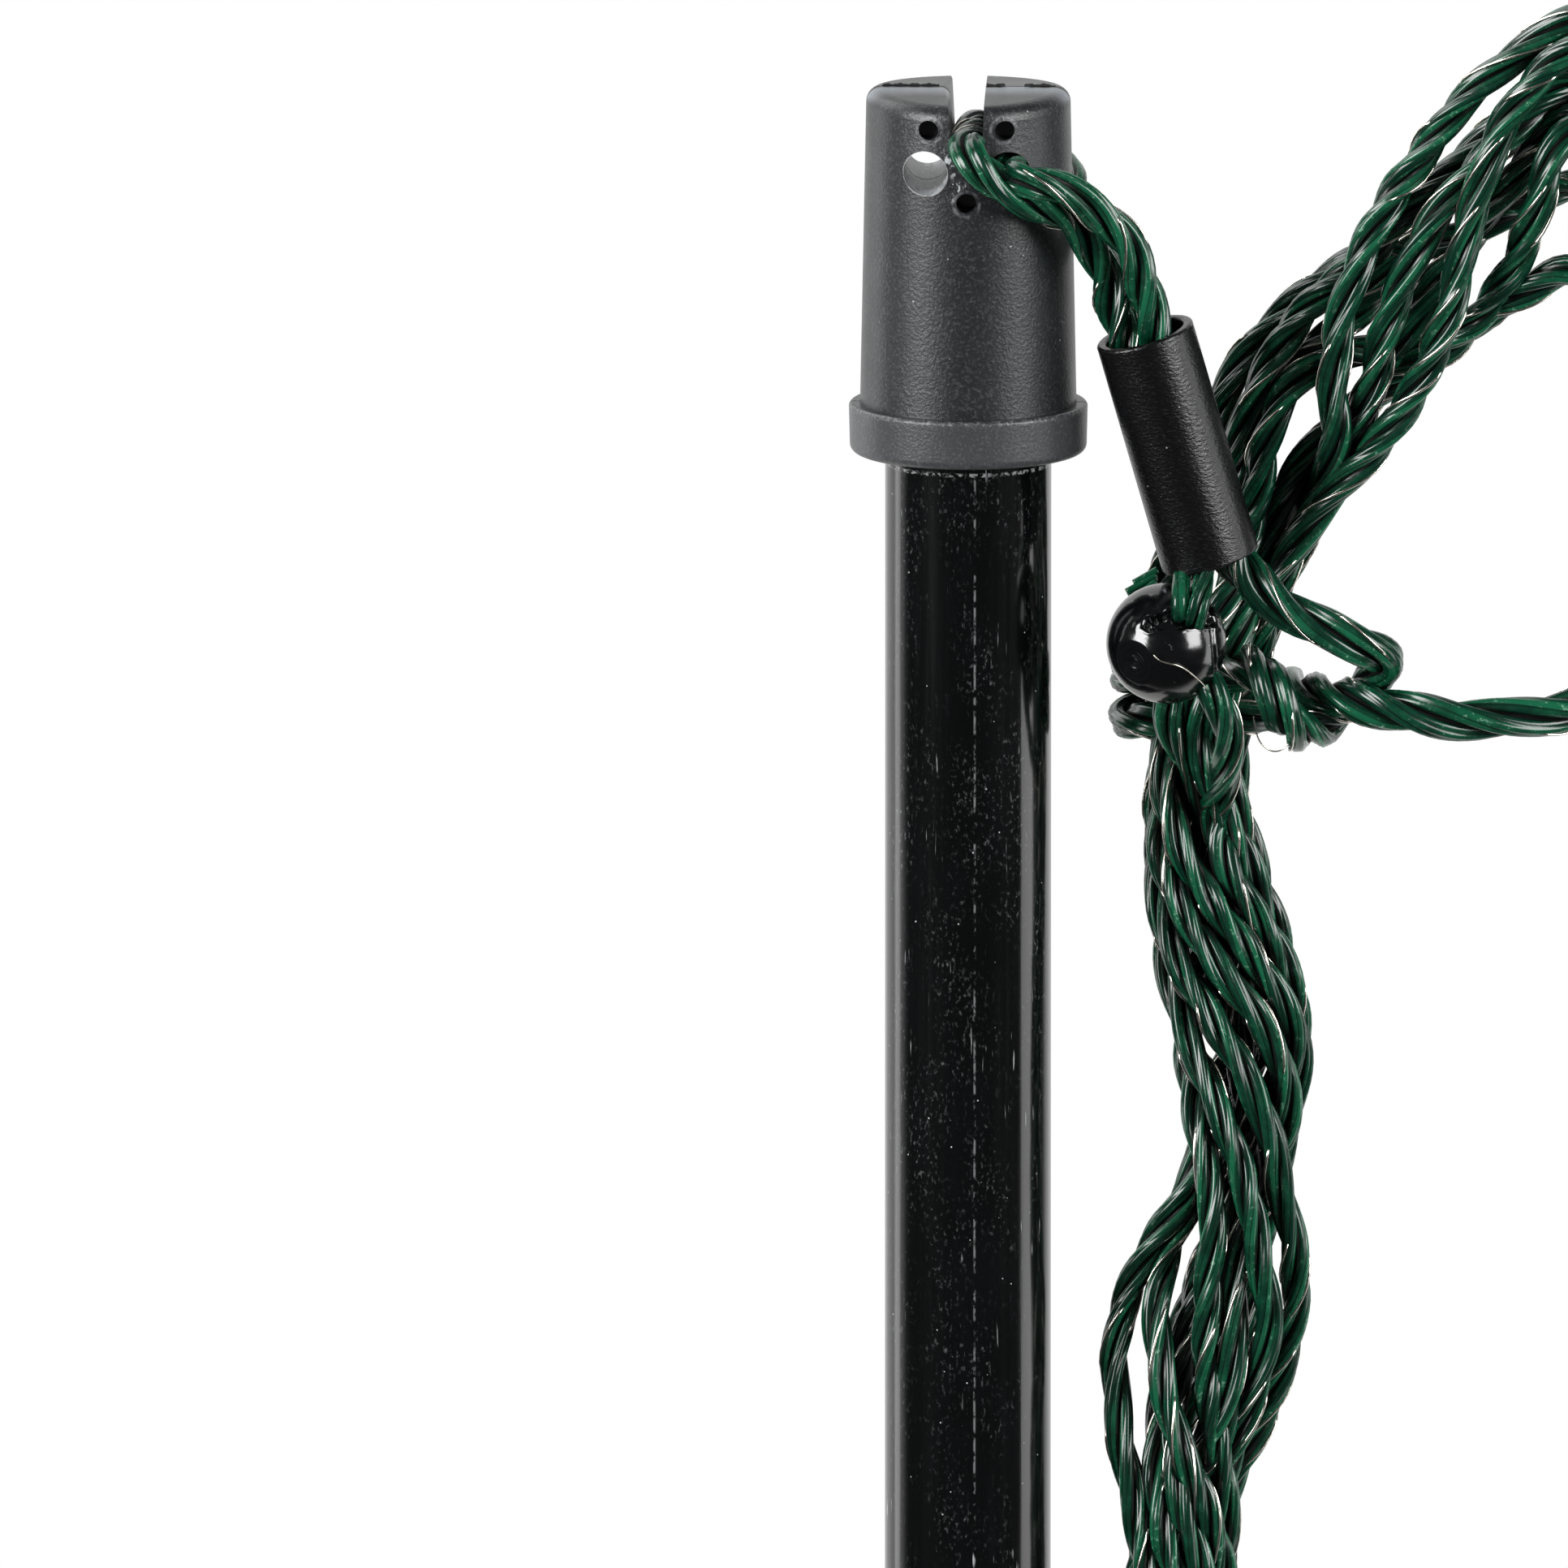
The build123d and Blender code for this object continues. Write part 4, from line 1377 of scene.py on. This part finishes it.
@dataclass
class MainLine:
    """The net's top line: the ball, the tie through the cap, the wrap and the whole hank.

    Attributes:
        hank: The runs below the wrap.
        bights: The doubled lengths of the hank, in their order along the line.
        ball_cord_girth: The twine's thickness out of the ball, as a share of the full one.
        tie_girth: Its thickness in the tie through the cap.
        top_line_girth: Its thickness in the net's own top line.
        wrap_girth: Its thickness round the hank.
        loop_girth: Its thickness in a loop.
        fan_girth: Its thickness between the loops and the wrap.
        run_girth: Its thickness below the wrap.
        fold_girth: Its thickness at the foot.
        wrap_half: The two half widths of the wrap's turns.
        wrap_heights: The degrees that the wrap has turned, and its height there.
        wrap_step: The degrees between two of its points.
        wrap_slack: How much wider the leading points are than the curve that they give.
        wrap_opens: The degrees after which the last turn opens, over how many, and by how much.
        points: The points of the line so far.
        girths: Its thickness at each of them.
    """

    hank: LowerHank = field(default_factory=LowerHank)
    bights: tuple[Bight, ...] = (
        Bight(LOOP_LEAD_IN, FAN_A, "c", "i", 4, FAN_H),
        Bight(LOOP_H_TO_C, FAN_C, "a", "b", 0, FAN_B),
        Bight(LOOP_B_TO_D, FAN_D, "j", "f", 3, FAN_E),
        Bight(LOOP_E_TO_G, FAN_G, "h", "e", 2, FAN_K),
        Bight(LOOP_K_TO_F, FAN_F, "d", "g", 1, BALL_LEAD_ROUTE),
    )
    ball_cord_girth: float = 0.58
    tie_girth: float = 1.06
    top_line_girth: float = 1.18
    wrap_girth: float = 1.02
    loop_girth: float = 0.92
    fan_girth: float = 0.9
    run_girth: float = 0.82
    fold_girth: float = 0.84
    wrap_middle: tuple[float, float] = (0.0195, 0.0094)
    wrap_half: tuple[float, float] = (0.0065, 0.0042)
    wrap_heights: tuple[tuple[int, float], ...] = (
        (95, 0.5992), (180, 0.5982), (270, 0.5968), (360, 0.5956), (450, 0.5952),
        (540, 0.5942), (630, 0.5957), (705, 0.5978),
    )
    wrap_step: int = 30
    wrap_slack: float = 1.03
    wrap_opens: tuple[float, float, float] = (560, 145, 0.2)
    points: list[Point] = field(default_factory=list)
    girths: list[float] = field(default_factory=list)

    def go(self, route: Route, girth: float) -> None:
        """Go on along a route, where the twine is this share of its full thickness."""
        self.points += route
        self.girths += [girth] * len(route)

    def wrap(self) -> Route:
        """Lead the line round the hank, going down to the left.

        Returns:
            The points of the turns.
        """
        after, over, much = self.wrap_opens
        turned, heights = zip(*self.wrap_heights, strict=True)
        points = []
        for degrees in range(turned[0], turned[-1] + 1, self.wrap_step):
            turn = math.radians(-degrees)
            grow = self.wrap_slack + much * max(0.0, (degrees - after) / over)
            x = self.wrap_middle[0] + grow * self.wrap_half[0] * math.cos(turn)
            y = self.wrap_middle[1] + grow * self.wrap_half[1] * math.sin(turn)
            points.append((x, y, float(np.interp(degrees, turned, heights))))
        return tuple(points)

    def lay_out(self) -> Centreline:
        """Lay the whole line, from the ball back to the ball.

        Returns:
            Its middle.
        """
        self.go(BALL_CORD_ROUTE, self.ball_cord_girth)
        self.go(TIE_LOOP_ROUTE, self.tie_girth)
        self.go(TOP_LINE_START_ROUTE, self.top_line_girth)
        self.go(self.wrap(), self.wrap_girth)
        self.go(TOP_LINE_RUN_ROUTE, self.top_line_girth)
        for bight in self.bights:
            self.go(bight.loop, self.loop_girth)
            self.go(bight.fan_in, self.fan_girth)
            self.go(self.hank.down(bight.down), self.run_girth)
            self.go(self.hank.fold(bight.down, bight.level), self.fold_girth)
            self.go(self.hank.down(bight.up)[::-1], self.run_girth)
            self.go(bight.fan_out[::-1], self.fan_girth)
        return Centreline("main_line", self.points, self.girths)


@dataclass
class JointBead:
    """The nylon bead where the net's cords meet, with its gate mark, its collar and its mouth.

    Attributes:
        gate: The direction of the gate mark.
        gate_flat: The radius of the flat ground round it.
        gate_edge: How soft the flat's edge is.
        gate_pit: The depth and the reach of the pit in its middle.
        swirl: The height, the reach and the pitch of the swirls round it.
        collar: The direction of the collar.
        collar_height: How far out from the middle the collar starts.
        groove: The depth of the groove beside the collar, and its reach.
        step: The collar's sink, where it starts, and how soft it is.
        mouth: The direction of the mouth.
        mouth_half: Half its width and half its height.
        mouth_depth: Its depth.
        lip: The height of its lip, the middle of the lip, and its reach, as shares of the mouth.
    """

    body: str = "cap"
    radius: float = 0.0051
    middle: Point = (0.0168, -0.005, 0.6035)
    gate: Point = (-0.56, -0.8, -0.2)
    gate_flat: float = 0.0020
    gate_edge: float = 0.00003
    gate_pit: tuple[float, float] = (0.00016, 0.0005)
    swirl: Point = (0.000016, 0.0018, 0.0005)
    collar: Point = (0.99, 0.08, 0.08)
    collar_height: float = 0.00385
    groove: tuple[float, float] = (0.0003, 0.00016)
    step: Point = (0.00008, 0.0002, 0.00006)
    mouth: Point = (0.28, -0.775, 0.565)
    mouth_half: tuple[float, float] = (0.0031, 0.0009)
    mouth_depth: float = 0.0012
    lip: Point = (0.00007, 1.2, 0.12)
    rings: int = 180
    corners: int = 280

    def gate_relief(self, toward: np.ndarray, gate: np.ndarray) -> np.ndarray:
        """Work out the ground flat, its pit and the swirls round it.

        Args:
            toward: The directions from the ball's middle.
            gate: The direction of the gate mark.

        Returns:
            The heights in metres.
        """
        lean = toward @ gate
        off = self.radius * np.arccos(np.clip(lean, -1, 1))
        turn = np.arctan2(toward @ np.cross(gate, [0, 0, 1.0]), toward[:, 2])
        edge = math.cos(self.gate_flat / self.radius)
        over = self.radius * (edge / np.clip(lean, 0.3, 1.0) - 1.0)
        high = -self.gate_edge * np.log1p(np.exp(-over / self.gate_edge))
        high -= self.gate_pit[0] * np.exp(-((off / self.gate_pit[1]) ** 2))
        tall, reach, pitch = self.swirl
        return high + tall * np.exp(-((off / reach) ** 2)) * np.cos(2 * math.pi * off / pitch + turn)

    def mouth_relief(self, toward: np.ndarray, mouth: np.ndarray) -> np.ndarray:
        """Work out the mouth and the worn lip round it.

        Args:
            toward: The directions from the ball's middle.
            mouth: The direction of the mouth.

        Returns:
            The heights in metres.
        """
        level = np.cross([0.0, 0.0, 1.0], mouth)
        level /= np.linalg.norm(level)
        wide = self.radius * (toward @ level) / self.mouth_half[0]
        tall = self.radius * (toward @ np.cross(mouth, level)) / self.mouth_half[1]
        # The mouth's edge is a little ragged, and the ball's far side has no mouth.
        ragged = 0.06 * np.sin(9 * wide) + 0.05 * np.sin(23 * wide + 1.0)
        inside = np.sqrt(wide**2 + tall**2) + ragged + 9.0 * (toward @ mouth < 0)
        high = -self.mouth_depth / (1 + np.exp((inside - 0.95) / 0.05))
        return high + self.lip[0] * np.exp(-(((inside - self.lip[1]) / self.lip[2]) ** 2))

    def relief(self, toward: np.ndarray) -> np.ndarray:
        """Work out how far each point stands above the plain ball.

        Args:
            toward: The directions from the ball's middle.

        Returns:
            The heights in metres.
        """
        gate, collar, mouth = (np.array(d) / np.linalg.norm(d) for d in (self.gate, self.collar, self.mouth))
        above = self.radius * (toward @ collar) - self.collar_height
        sink, start, soft = self.step
        high = -self.groove[0] * np.exp(-((above / self.groove[1]) ** 2))
        high -= sink / (1 + np.exp(-(above - start) / soft))
        return high + self.gate_relief(toward, gate) + self.mouth_relief(toward, mouth)

    def build(self, material: bpy.types.Material) -> bpy.types.Object:
        """Make the bead.

        Args:
            material: Its finish.

        Returns:
            The new piece.
        """
        polar = np.linspace(0.0, math.pi, self.rings + 1)[1:-1]
        turn = np.linspace(0.0, 2 * math.pi, self.corners, endpoint=False)
        across, round_ = np.meshgrid(polar, turn, indexing="ij")
        toward = np.stack(
            [np.sin(across) * np.cos(round_), np.sin(across) * np.sin(round_), np.cos(across)], axis=-1
        ).reshape(-1, 3)
        toward = np.concatenate([toward, [[0.0, 0.0, 1.0], [0.0, 0.0, -1.0]]])
        points = np.array(self.middle) + (self.radius + self.relief(toward))[:, None] * toward
        number = np.arange((self.rings - 1) * self.corners).reshape(self.rings - 1, self.corners)
        over = np.roll(number, -1, axis=1)
        faces = np.stack([number[:-1], number[1:], over[1:], over[:-1]], axis=-1).reshape(-1, 4).tolist()
        top, foot = len(points) - 2, len(points) - 1
        faces += [[top, int(a), int(b)] for a, b in zip(number[0], over[0], strict=True)]
        faces += [[foot, int(b), int(a)] for a, b in zip(number[-1], over[-1], strict=True)]
        mesh = bpy.data.meshes.new("joint_bead")
        mesh.from_pydata(points.tolist(), [], faces)
        mesh.shade_smooth()
        mesh.materials.append(material)
        piece = place_in_scene("joint_bead", mesh)
        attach(piece, self.body)
        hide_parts("junction_ball")
        LOG.info("joint_bead: %d points", len(points))
        return piece


@dataclass
class LooseEnds:
    """The ends that stand off the twine: single steel wires, a tuft of cut filaments and one strand.

    Attributes:
        wires: The points of each wire.
        tuft: The points of each cut filament.
        strand: The points of the strand.
        wire_radius: The radius of a wire, in metres.
        wire_step: The length between two of its rings.
        tuft_radius: The radius of a cut filament.
        tuft_step: The length between two of its rings.
        strand_girth: The strand's thickness, as a share of one in the twine.
        strand_step: The length between two of its rings.
    """

    body: str = "cap"
    wires: tuple[Route, ...] = (
        (
            (0.0158, -0.0104, 0.6035), (0.016, -0.01045, 0.6031), (0.0169, -0.0104, 0.6028),
            (0.0181, -0.0102, 0.6025), (0.0193, -0.0092, 0.6014), (0.0201, -0.008, 0.6004),
            (0.0208, -0.0066, 0.5992),
        ),
        (
            (0.0241, -0.0048, 0.5972), (0.0243, -0.0046, 0.5955), (0.0251, -0.0042, 0.5943),
            (0.0262, -0.004, 0.594), (0.0272, -0.0042, 0.5948), (0.0276, -0.0046, 0.596),
        ),
    )
    tuft: tuple[Route, ...] = (
        ((0.0158, 0.0008, 0.6083), (0.0146, 0.0006, 0.6076), (0.0133, 0.0003, 0.6069)),
        ((0.0158, 0.0004, 0.6078), (0.0147, 0.0001, 0.607), (0.0137, -0.0002, 0.6062)),
        ((0.0159, 0.001, 0.6087), (0.0148, 0.0008, 0.6081), (0.0139, 0.0006, 0.6076)),
        ((0.0158, 0.0012, 0.608), (0.0147, 0.001, 0.6072), (0.0135, 0.0008, 0.6064)),
    )
    strand: Route = (
        (0.018, -0.0079, 0.6064), (0.018, -0.009, 0.6073), (0.018, -0.008, 0.6083),
        (0.0181, -0.0062, 0.6091), (0.0183, -0.0045, 0.61), (0.0186, -0.0038, 0.6115),
    )
    wire_radius: float = 0.00006
    wire_step: float = 0.00025
    tuft_radius: float = 0.0003
    tuft_step: float = 0.0002
    strand_girth: float = 1.05
    strand_step: float = 0.0004

    def add_lone_strand(self, tubes: Tubes) -> None:
        """Add the strand that has come away from the others.

        Args:
            tubes: The mesh so far.
        """
        twine = TwistedTwine("strand", Centreline.even("strand", self.strand, self.strand_girth), seed=5)
        places, along, girth = twine.line.rings(self.strand_step)
        ahead, _, _ = carried_frames(places)
        out = np.cross(ahead, np.cross([0.0, -1.0, 0.2], ahead))
        out /= np.linalg.norm(out, axis=1, keepdims=True)
        path = StrandPath(along, girth, places, out, np.cross(ahead, out))
        alone = np.full((len(places), 1, 3), FAR_AWAY)
        twine.add_strand(tubes, np.random.default_rng(twine.seed), path, alone)

    def build(self, materials: list[bpy.types.Material]) -> bpy.types.Object:
        """Make the loose ends as one piece.

        Args:
            materials: The filaments' material and the wire's.

        Returns:
            The new piece.
        """
        tubes = Tubes()
        for route in self.wires:
            middle, _, _ = Centreline.even("wire", route).rings(self.wire_step)
            tubes.add_thin(middle, self.wire_radius, 1)
        for route in self.tuft:
            middle, _, _ = Centreline.even("tuft", route).rings(self.tuft_step)
            tubes.add_thin(middle, self.tuft_radius, 0)
        self.add_lone_strand(tubes)
        piece = tubes.make("loose_ends", materials)
        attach(piece, self.body)
        LOG.info("loose_ends: %d points", tubes.count)
        return piece


@dataclass
class PartingFlash:
    """The thin flash of plastic that stands up where the cap's halves meet on top.

    Attributes:
        stretches: Where each torn length starts and ends along the gap, in metres.
        depth: How far behind the cap's middle it stands.
        thickness: Its thickness.
        height: How far it stands up.
        root: How far down it goes into the gap.
        inset: How far the gap's edge lies under the cap's highest point.
        sink: How far its ends sink with the roof's edge, where that starts, and over what length.
        spacing: The length between two of its sections.
    """

    body: str = "cap"
    stretches: tuple[tuple[float, float], ...] = ((-0.0078, -0.00245), (0.00155, 0.0031), (0.0047, 0.0079))
    depth: float = 0.0001
    thickness: float = 0.00016
    height: float = 0.0002
    root: float = 0.0004
    inset: float = 0.00003
    sink: Point = (0.0013, 0.0067, 0.0017)
    spacing: float = 0.00015

    def build(self, material: bpy.types.Material) -> bpy.types.Object:
        """Make the flash, a little uneven along its edge.

        Args:
            material: Its finish.

        Returns:
            The new piece.
        """
        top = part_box("cap_rear_shell")[1][2] - self.inset
        most, start_at, over = self.sink
        tubes = Tubes()
        for start, end in self.stretches:
            x = np.linspace(start, end, max(8, round((end - start) / self.spacing)))
            uneven = 0.00005 * np.sin(x * 5200) + 0.00003 * np.sin(x * 13100 + 1.0)
            low = top - most * np.clip((np.abs(x) - start_at) / over, 0.0, 1.0) ** 2
            foot, crest = low - self.root, low + self.height + uneven
            rings = np.zeros((len(x), 4, 3))
            rings[:, :, 0] = x[:, None]
            rings[:, :, 1] = self.depth + self.thickness * np.array([0.0, 0.0, 1.0, 1.0])
            rings[:, :, 2] = np.stack([foot, crest, crest, foot], axis=1)
            plain = np.ones((len(x), 4))
            tubes.add(rings, plain, plain, 0)
        piece = tubes.make("parting_flash", [material])
        piece.data.shade_flat()
        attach(piece, self.body)
        LOG.info("parting_flash: %d points", tubes.count)
        return piece


@dataclass
class TwineWork:
    """All the twine on the post: the main line, the cord through the cap and the loose ends."""

    shop: Workshop
    body: str = "cap"

    def lay_main_line(self, materials: list[bpy.types.Material]) -> None:
        """Args:
            materials: The filaments' material and the wire's.
        """
        main = TwistedTwine("main_line", MainLine().lay_out(), seed=11)
        piece = main.build(materials)
        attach(piece, self.body)
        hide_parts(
            "tie_loop",
            "ball_cord",
            "top_line_start",
            "top_line_run",
            "ball_lead",
            "hank_wrap",
            "hank_upper",
            "hank_lower",
        )
        bead = JointBead().build(self.shop.made["ball"])
        ends = LooseEnds().build(materials)
        length = float(np.linalg.norm(np.diff(main.places, axis=0), axis=1).sum())
        LOG.info("main line length %.3f m", length)

    def lay_bore_cord(self, materials: list[bpy.types.Material]) -> None:
        """Args:
            materials: The filaments' material and the wire's.
        """
        twine = TwistedTwine("bore_cord_twine", Centreline.even("bore_cord_twine", BORE_CORD_ROUTE), seed=23)
        piece = twine.build(materials)
        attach(piece, self.body)
        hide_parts("bore_cord")

    def build(self) -> None:
        """Lay both cords."""
        materials = [self.shop.made["twine"], self.shop.made["wire"]]
        self.lay_main_line(materials)
        self.lay_bore_cord(materials)


@dataclass
class Lamp:
    """A soft studio lamp."""

    tone: Tone
    place: Point
    size: tuple[float, float]
    power: float
    target: Point = (0.0, 0.0, 0.6)

    def build(self) -> None:
        """Hang the lamp and point it."""
        data = bpy.data.lights.new(self.tone.value, "AREA")
        data.shape = "RECTANGLE"
        data.size, data.size_y = self.size
        data.energy = self.power
        lamp = place_in_scene(self.tone.value + "_lamp", data)
        lamp.location = self.place
        lamp.rotation_euler = (Vector(self.target) - Vector(self.place)).to_track_quat("-Z", "Y").to_euler()


@dataclass
class Studio:
    """The camera, the lamps, the white surround and the pale floor.

    Attributes:
        target: What the camera looks at, in metres.
        distance: How far away it stands.
        elevation: How far above level, in degrees.
        azimuth: How far round to the right, in degrees.
        frame_width: The width of what it sees there.
        sensor: The width of its sensor, in millimetres.
        light: How strongly the surround lights the post.
        dim: How bright the surround is in reflections from the front.
        white_toward: The direction from which reflections show it plain white.
    """

    target: Point = (-0.0155, 0.0, 0.5904)
    distance: float = 5.8
    elevation: float = 10.5
    azimuth: float = 1.3
    frame_width: float = 0.132
    sensor: float = 36.0
    light: float = 0.26
    dim: float = 0.05
    white_toward: Point = (-0.3, 0.95, 0.0)
    floor_height: float = -0.1503
    floor_radius: float = 1.3
    floor_corners: int = 96

    def camera(self) -> None:
        """Set up the camera."""
        up, side = math.radians(self.elevation), math.radians(self.azimuth)
        back = Vector((math.sin(side) * math.cos(up), -math.cos(side) * math.cos(up), math.sin(up)))
        data = bpy.data.cameras.new("camera")
        data.sensor_width = self.sensor
        data.lens = self.sensor * self.distance / self.frame_width
        data.clip_start = 0.02
        data.clip_end = FAR_AWAY
        camera = place_in_scene("camera", data)
        camera.location = Vector(self.target) + back * self.distance
        camera.rotation_euler = (-back).to_track_quat("-Z", "Y").to_euler()
        bpy.context.scene.camera = camera

    def surround(self) -> None:
        """Make the surround: plain white where it is seen or mirrored from behind, and dim elsewhere."""
        world = bpy.data.worlds.new("surround")
        world.use_nodes = True
        bpy.context.scene.world = world
        tree = world.node_tree
        tree.nodes.clear()
        sky = Skin(tree, add_node(tree, "ShaderNodeTexCoord", out="Generated"))
        camera, glossy, through = (
            add_node(tree, "ShaderNodeLightPath", out=f"Is {ray} Ray")
            for ray in ("Camera", "Glossy", "Transmission")
        )
        turned = {0: sky.place, 1: self.white_toward}
        leaning = add_node(tree, "ShaderNodeVectorMath", turned, "Value", operation="DOT_PRODUCT")
        behind = sky.strongest(sky.mask((leaning, 0.3, 0.6)), camera)
        light, dark, white = (
            add_node(tree, "ShaderNodeBackground", {"Color": linear("#FFFFFF"), "Strength": strength})
            for strength in (self.light, self.dim, 1.0)
        )
        seen = sky.strongest(camera, glossy, through)
        shown = add_node(tree, "ShaderNodeMixShader", {0: behind, 1: dark, 2: white})
        mixed = add_node(tree, "ShaderNodeMixShader", {0: seen, 1: light, 2: shown})
        add_node(tree, "ShaderNodeOutputWorld", {"Surface": mixed})

    def floor_material(self) -> bpy.types.Material:
        """Paint the floor matt white, fading into the surround at its edge.

        Returns:
            The material.
        """
        material = bpy.data.materials.new("painted board, rolled matt white")
        material.use_nodes = True
        tree = material.node_tree
        tree.nodes.clear()
        board = Skin(tree, add_node(tree, "ShaderNodeTexCoord", out="Object"))
        camera, glossy = (
            add_node(tree, "ShaderNodeLightPath", out=f"Is {ray} Ray") for ray in ("Camera", "Glossy")
        )
        far = board.near((0.0, 0.0, 0.0), (1.0, 1.0, 0.0))
        share = board.mask((far, 0.5, self.floor_radius * 0.98), (camera, 0.0, 1.0))
        depth = add_node(tree, "ShaderNodeSeparateXYZ", {0: board.place}, "Y")
        mirrored = board.mask((depth, 0.15, -0.1), (glossy, 0.0, 1.0))
        # In front of the post it mirrors dark, as the room there does.
        matt, flagged = (
            add_node(tree, "ShaderNodeBsdfDiffuse", {"Color": linear(code), "Roughness": 0.4})
            for code in ("#F4F4F2", "#303030")
        )
        matt = add_node(tree, "ShaderNodeMixShader", {0: mirrored, 1: matt, 2: flagged})
        glow = add_node(tree, "ShaderNodeEmission", {"Color": linear("#FFFFFF"), "Strength": 1.0})
        mixed = add_node(tree, "ShaderNodeMixShader", {0: share, 1: matt, 2: glow})
        add_node(tree, "ShaderNodeOutputMaterial", {"Surface": mixed})
        return material

    def floor(self) -> None:
        """Lay the floor."""
        turns = [2 * math.pi * k / self.floor_corners for k in range(self.floor_corners)]
        out = self.floor_radius
        ring = [(out * math.cos(t), out * math.sin(t), self.floor_height) for t in turns]
        mesh = bpy.data.meshes.new("floor")
        mesh.from_pydata(ring, [], [list(range(self.floor_corners))])
        mesh.materials.append(self.floor_material())
        place_in_scene("floor", mesh)

    def lamps(self) -> None:
        """Hang the lamps."""
        hung = (
            Lamp(Tone.KEY, (-0.958, -0.722, 1.02), (0.62, 0.9), 24.0, (0.0, 0.0, 0.8)),
            Lamp(Tone.FILL, (1.0, -0.66, 1.02), (0.6, 0.9), 18.0, (0.0, 0.0, 0.8)),
            Lamp(Tone.RIM, (-1.18, 0.55, 0.6), (0.3, 1.3), 2.2),
            Lamp(Tone.RIM, (1.28, 0.045, 0.6), (0.5, 1.3), 5.6),
            Lamp(Tone.TOP, (-0.93, 0.54, 1.5), (1.1, 0.9), 7.0),
        )
        for lamp in hung:
            lamp.build()

    def build(self) -> None:
        """Set the whole studio up."""
        self.camera()
        self.surround()
        self.floor()
        self.lamps()
        bpy.context.scene.view_settings.view_transform = "Standard"
        LOG.info("studio is up")


def finishes() -> Workshop:
    """Make every finish of the post.

    Returns:
        The workshop that keeps them.
    """
    chosen = {
        # Moulded grain gives the eye a sandy charcoal with wide soft lights, broken by pale rubbed streaks.
        "cap": MouldedCharcoal(
            "polypropylene, moulded with a spark-eroded grain",
            base="#1B1D1F",
            shade="#141618",
            worn="#B9BDC0",
            roughness=(0.33, 0.43),
            scuffs=(((-0.0012, -0.0088, 0.6450), 0.0016), ((-0.0007, -0.0090, 0.6425), 0.0013)),
        ),
        # The flash stands in the gap between the halves; its near-black colour is painted shade, and its torn
        # face is duller than the skin beside it.
        "flash": MouldedCharcoal(
            "polypropylene, torn moulding flash",
            base="#050505",
            shade="#020202",
            worn="#4A4A48",
            roughness=(0.6, 0.8),
        ),
        # An extruded tube shows tall soft reflections, and a dashed pale line is painted as a highlight where
        # the die was split.
        "tube": ExtrudedBlack(
            "rigid PVC, extruded glossy",
            base="#030404",
            shade="#060708",
            worn="#D6D8DA",
            roughness=(0.06, 0.2),
            ior=1.53,
        ),
        # Hose rubber is a dull dark grey with fine pits and pale dots of dust.
        "sleeve": GrainedRubber(
            "EPDM rubber, extruded hose",
            base="#050506",
            shade="#020203",
            worn="#9A9EA2",
            roughness=(0.27, 0.36),
            turn=(0.1, 0.27, 0.0),
        ),
        # Polished moulded nylon gives small hard highlights on black.
        "ball": TumbledNylon(
            "nylon, moulded and tumbled",
            base="#040506",
            shade="#070809",
            worn="#9AA0A6",
            roughness=(0.08, 0.22),
            ior=1.7,
        ),
        # Drawn filaments catch the light in long thin lines, pale green on bottle green, with pale streaks
        # painted on as a sheen.
        "twine": DrawnPolythene(
            "polythene monofilament, drawn and twisted",
            base="#0F4F35",
            shade="#03251A",
            worn="#9CD0B2",
            roughness=(0.13, 0.6),
            ior=1.53,
        ),
        # Bare stainless wire glints among the green.
        "wire": DrawnMetal(
            "stainless steel, drawn wire",
            base="#ECE7DC",
            shade="#BDB8AE",
            roughness=(0.16, 0.3),
        ),
        # A plated rod is grey, with lines along it.
        "spike": DrawnMetal(
            "galvanised steel, drawn rod",
            base="#A9ADB1",
            shade="#7F858A",
            roughness=(0.32, 0.55),
            line_width=0.9,
        ),
        # A crimped ferrule is duller than bare wire.
        "ferrule": DrawnMetal(
            "aluminium, drawn and crimped",
            base="#B4B7BA",
            shade="#84898D",
            roughness=(0.3, 0.5),
        ),
    }
    return Workshop({key: finish.material() for key, finish in chosen.items()})


def dress_parts(shop: Workshop) -> None:
    """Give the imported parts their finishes.

    Args:
        shop: The workshop that keeps them.
    """
    worn_by = {
        "cap": ("cap_front_shell", "cap_rear_shell", "bottom_clip", "foot_bush", "swivel_bush"),
        "ball": ("cap_pegs", "stopper_bead", "hank_tie"),
        "tube": ("post_tube",),
        "sleeve": ("cord_sleeve",),
        "ferrule": ("sleeve_ferrule",),
        "spike": ("ground_spike",),
    }
    for key, nodes in worn_by.items():
        for node in nodes:
            shop.dress(node, key)


def main() -> None:
    """Build the studio, the finishes and the twine."""
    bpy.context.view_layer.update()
    Studio().build()
    shop = finishes()
    dress_parts(shop)
    PartingFlash().build(shop.made["flash"])
    TwineWork(shop).build()
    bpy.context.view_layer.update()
    LOG.info("sizes written")


if __name__ == "__main__":
    main()
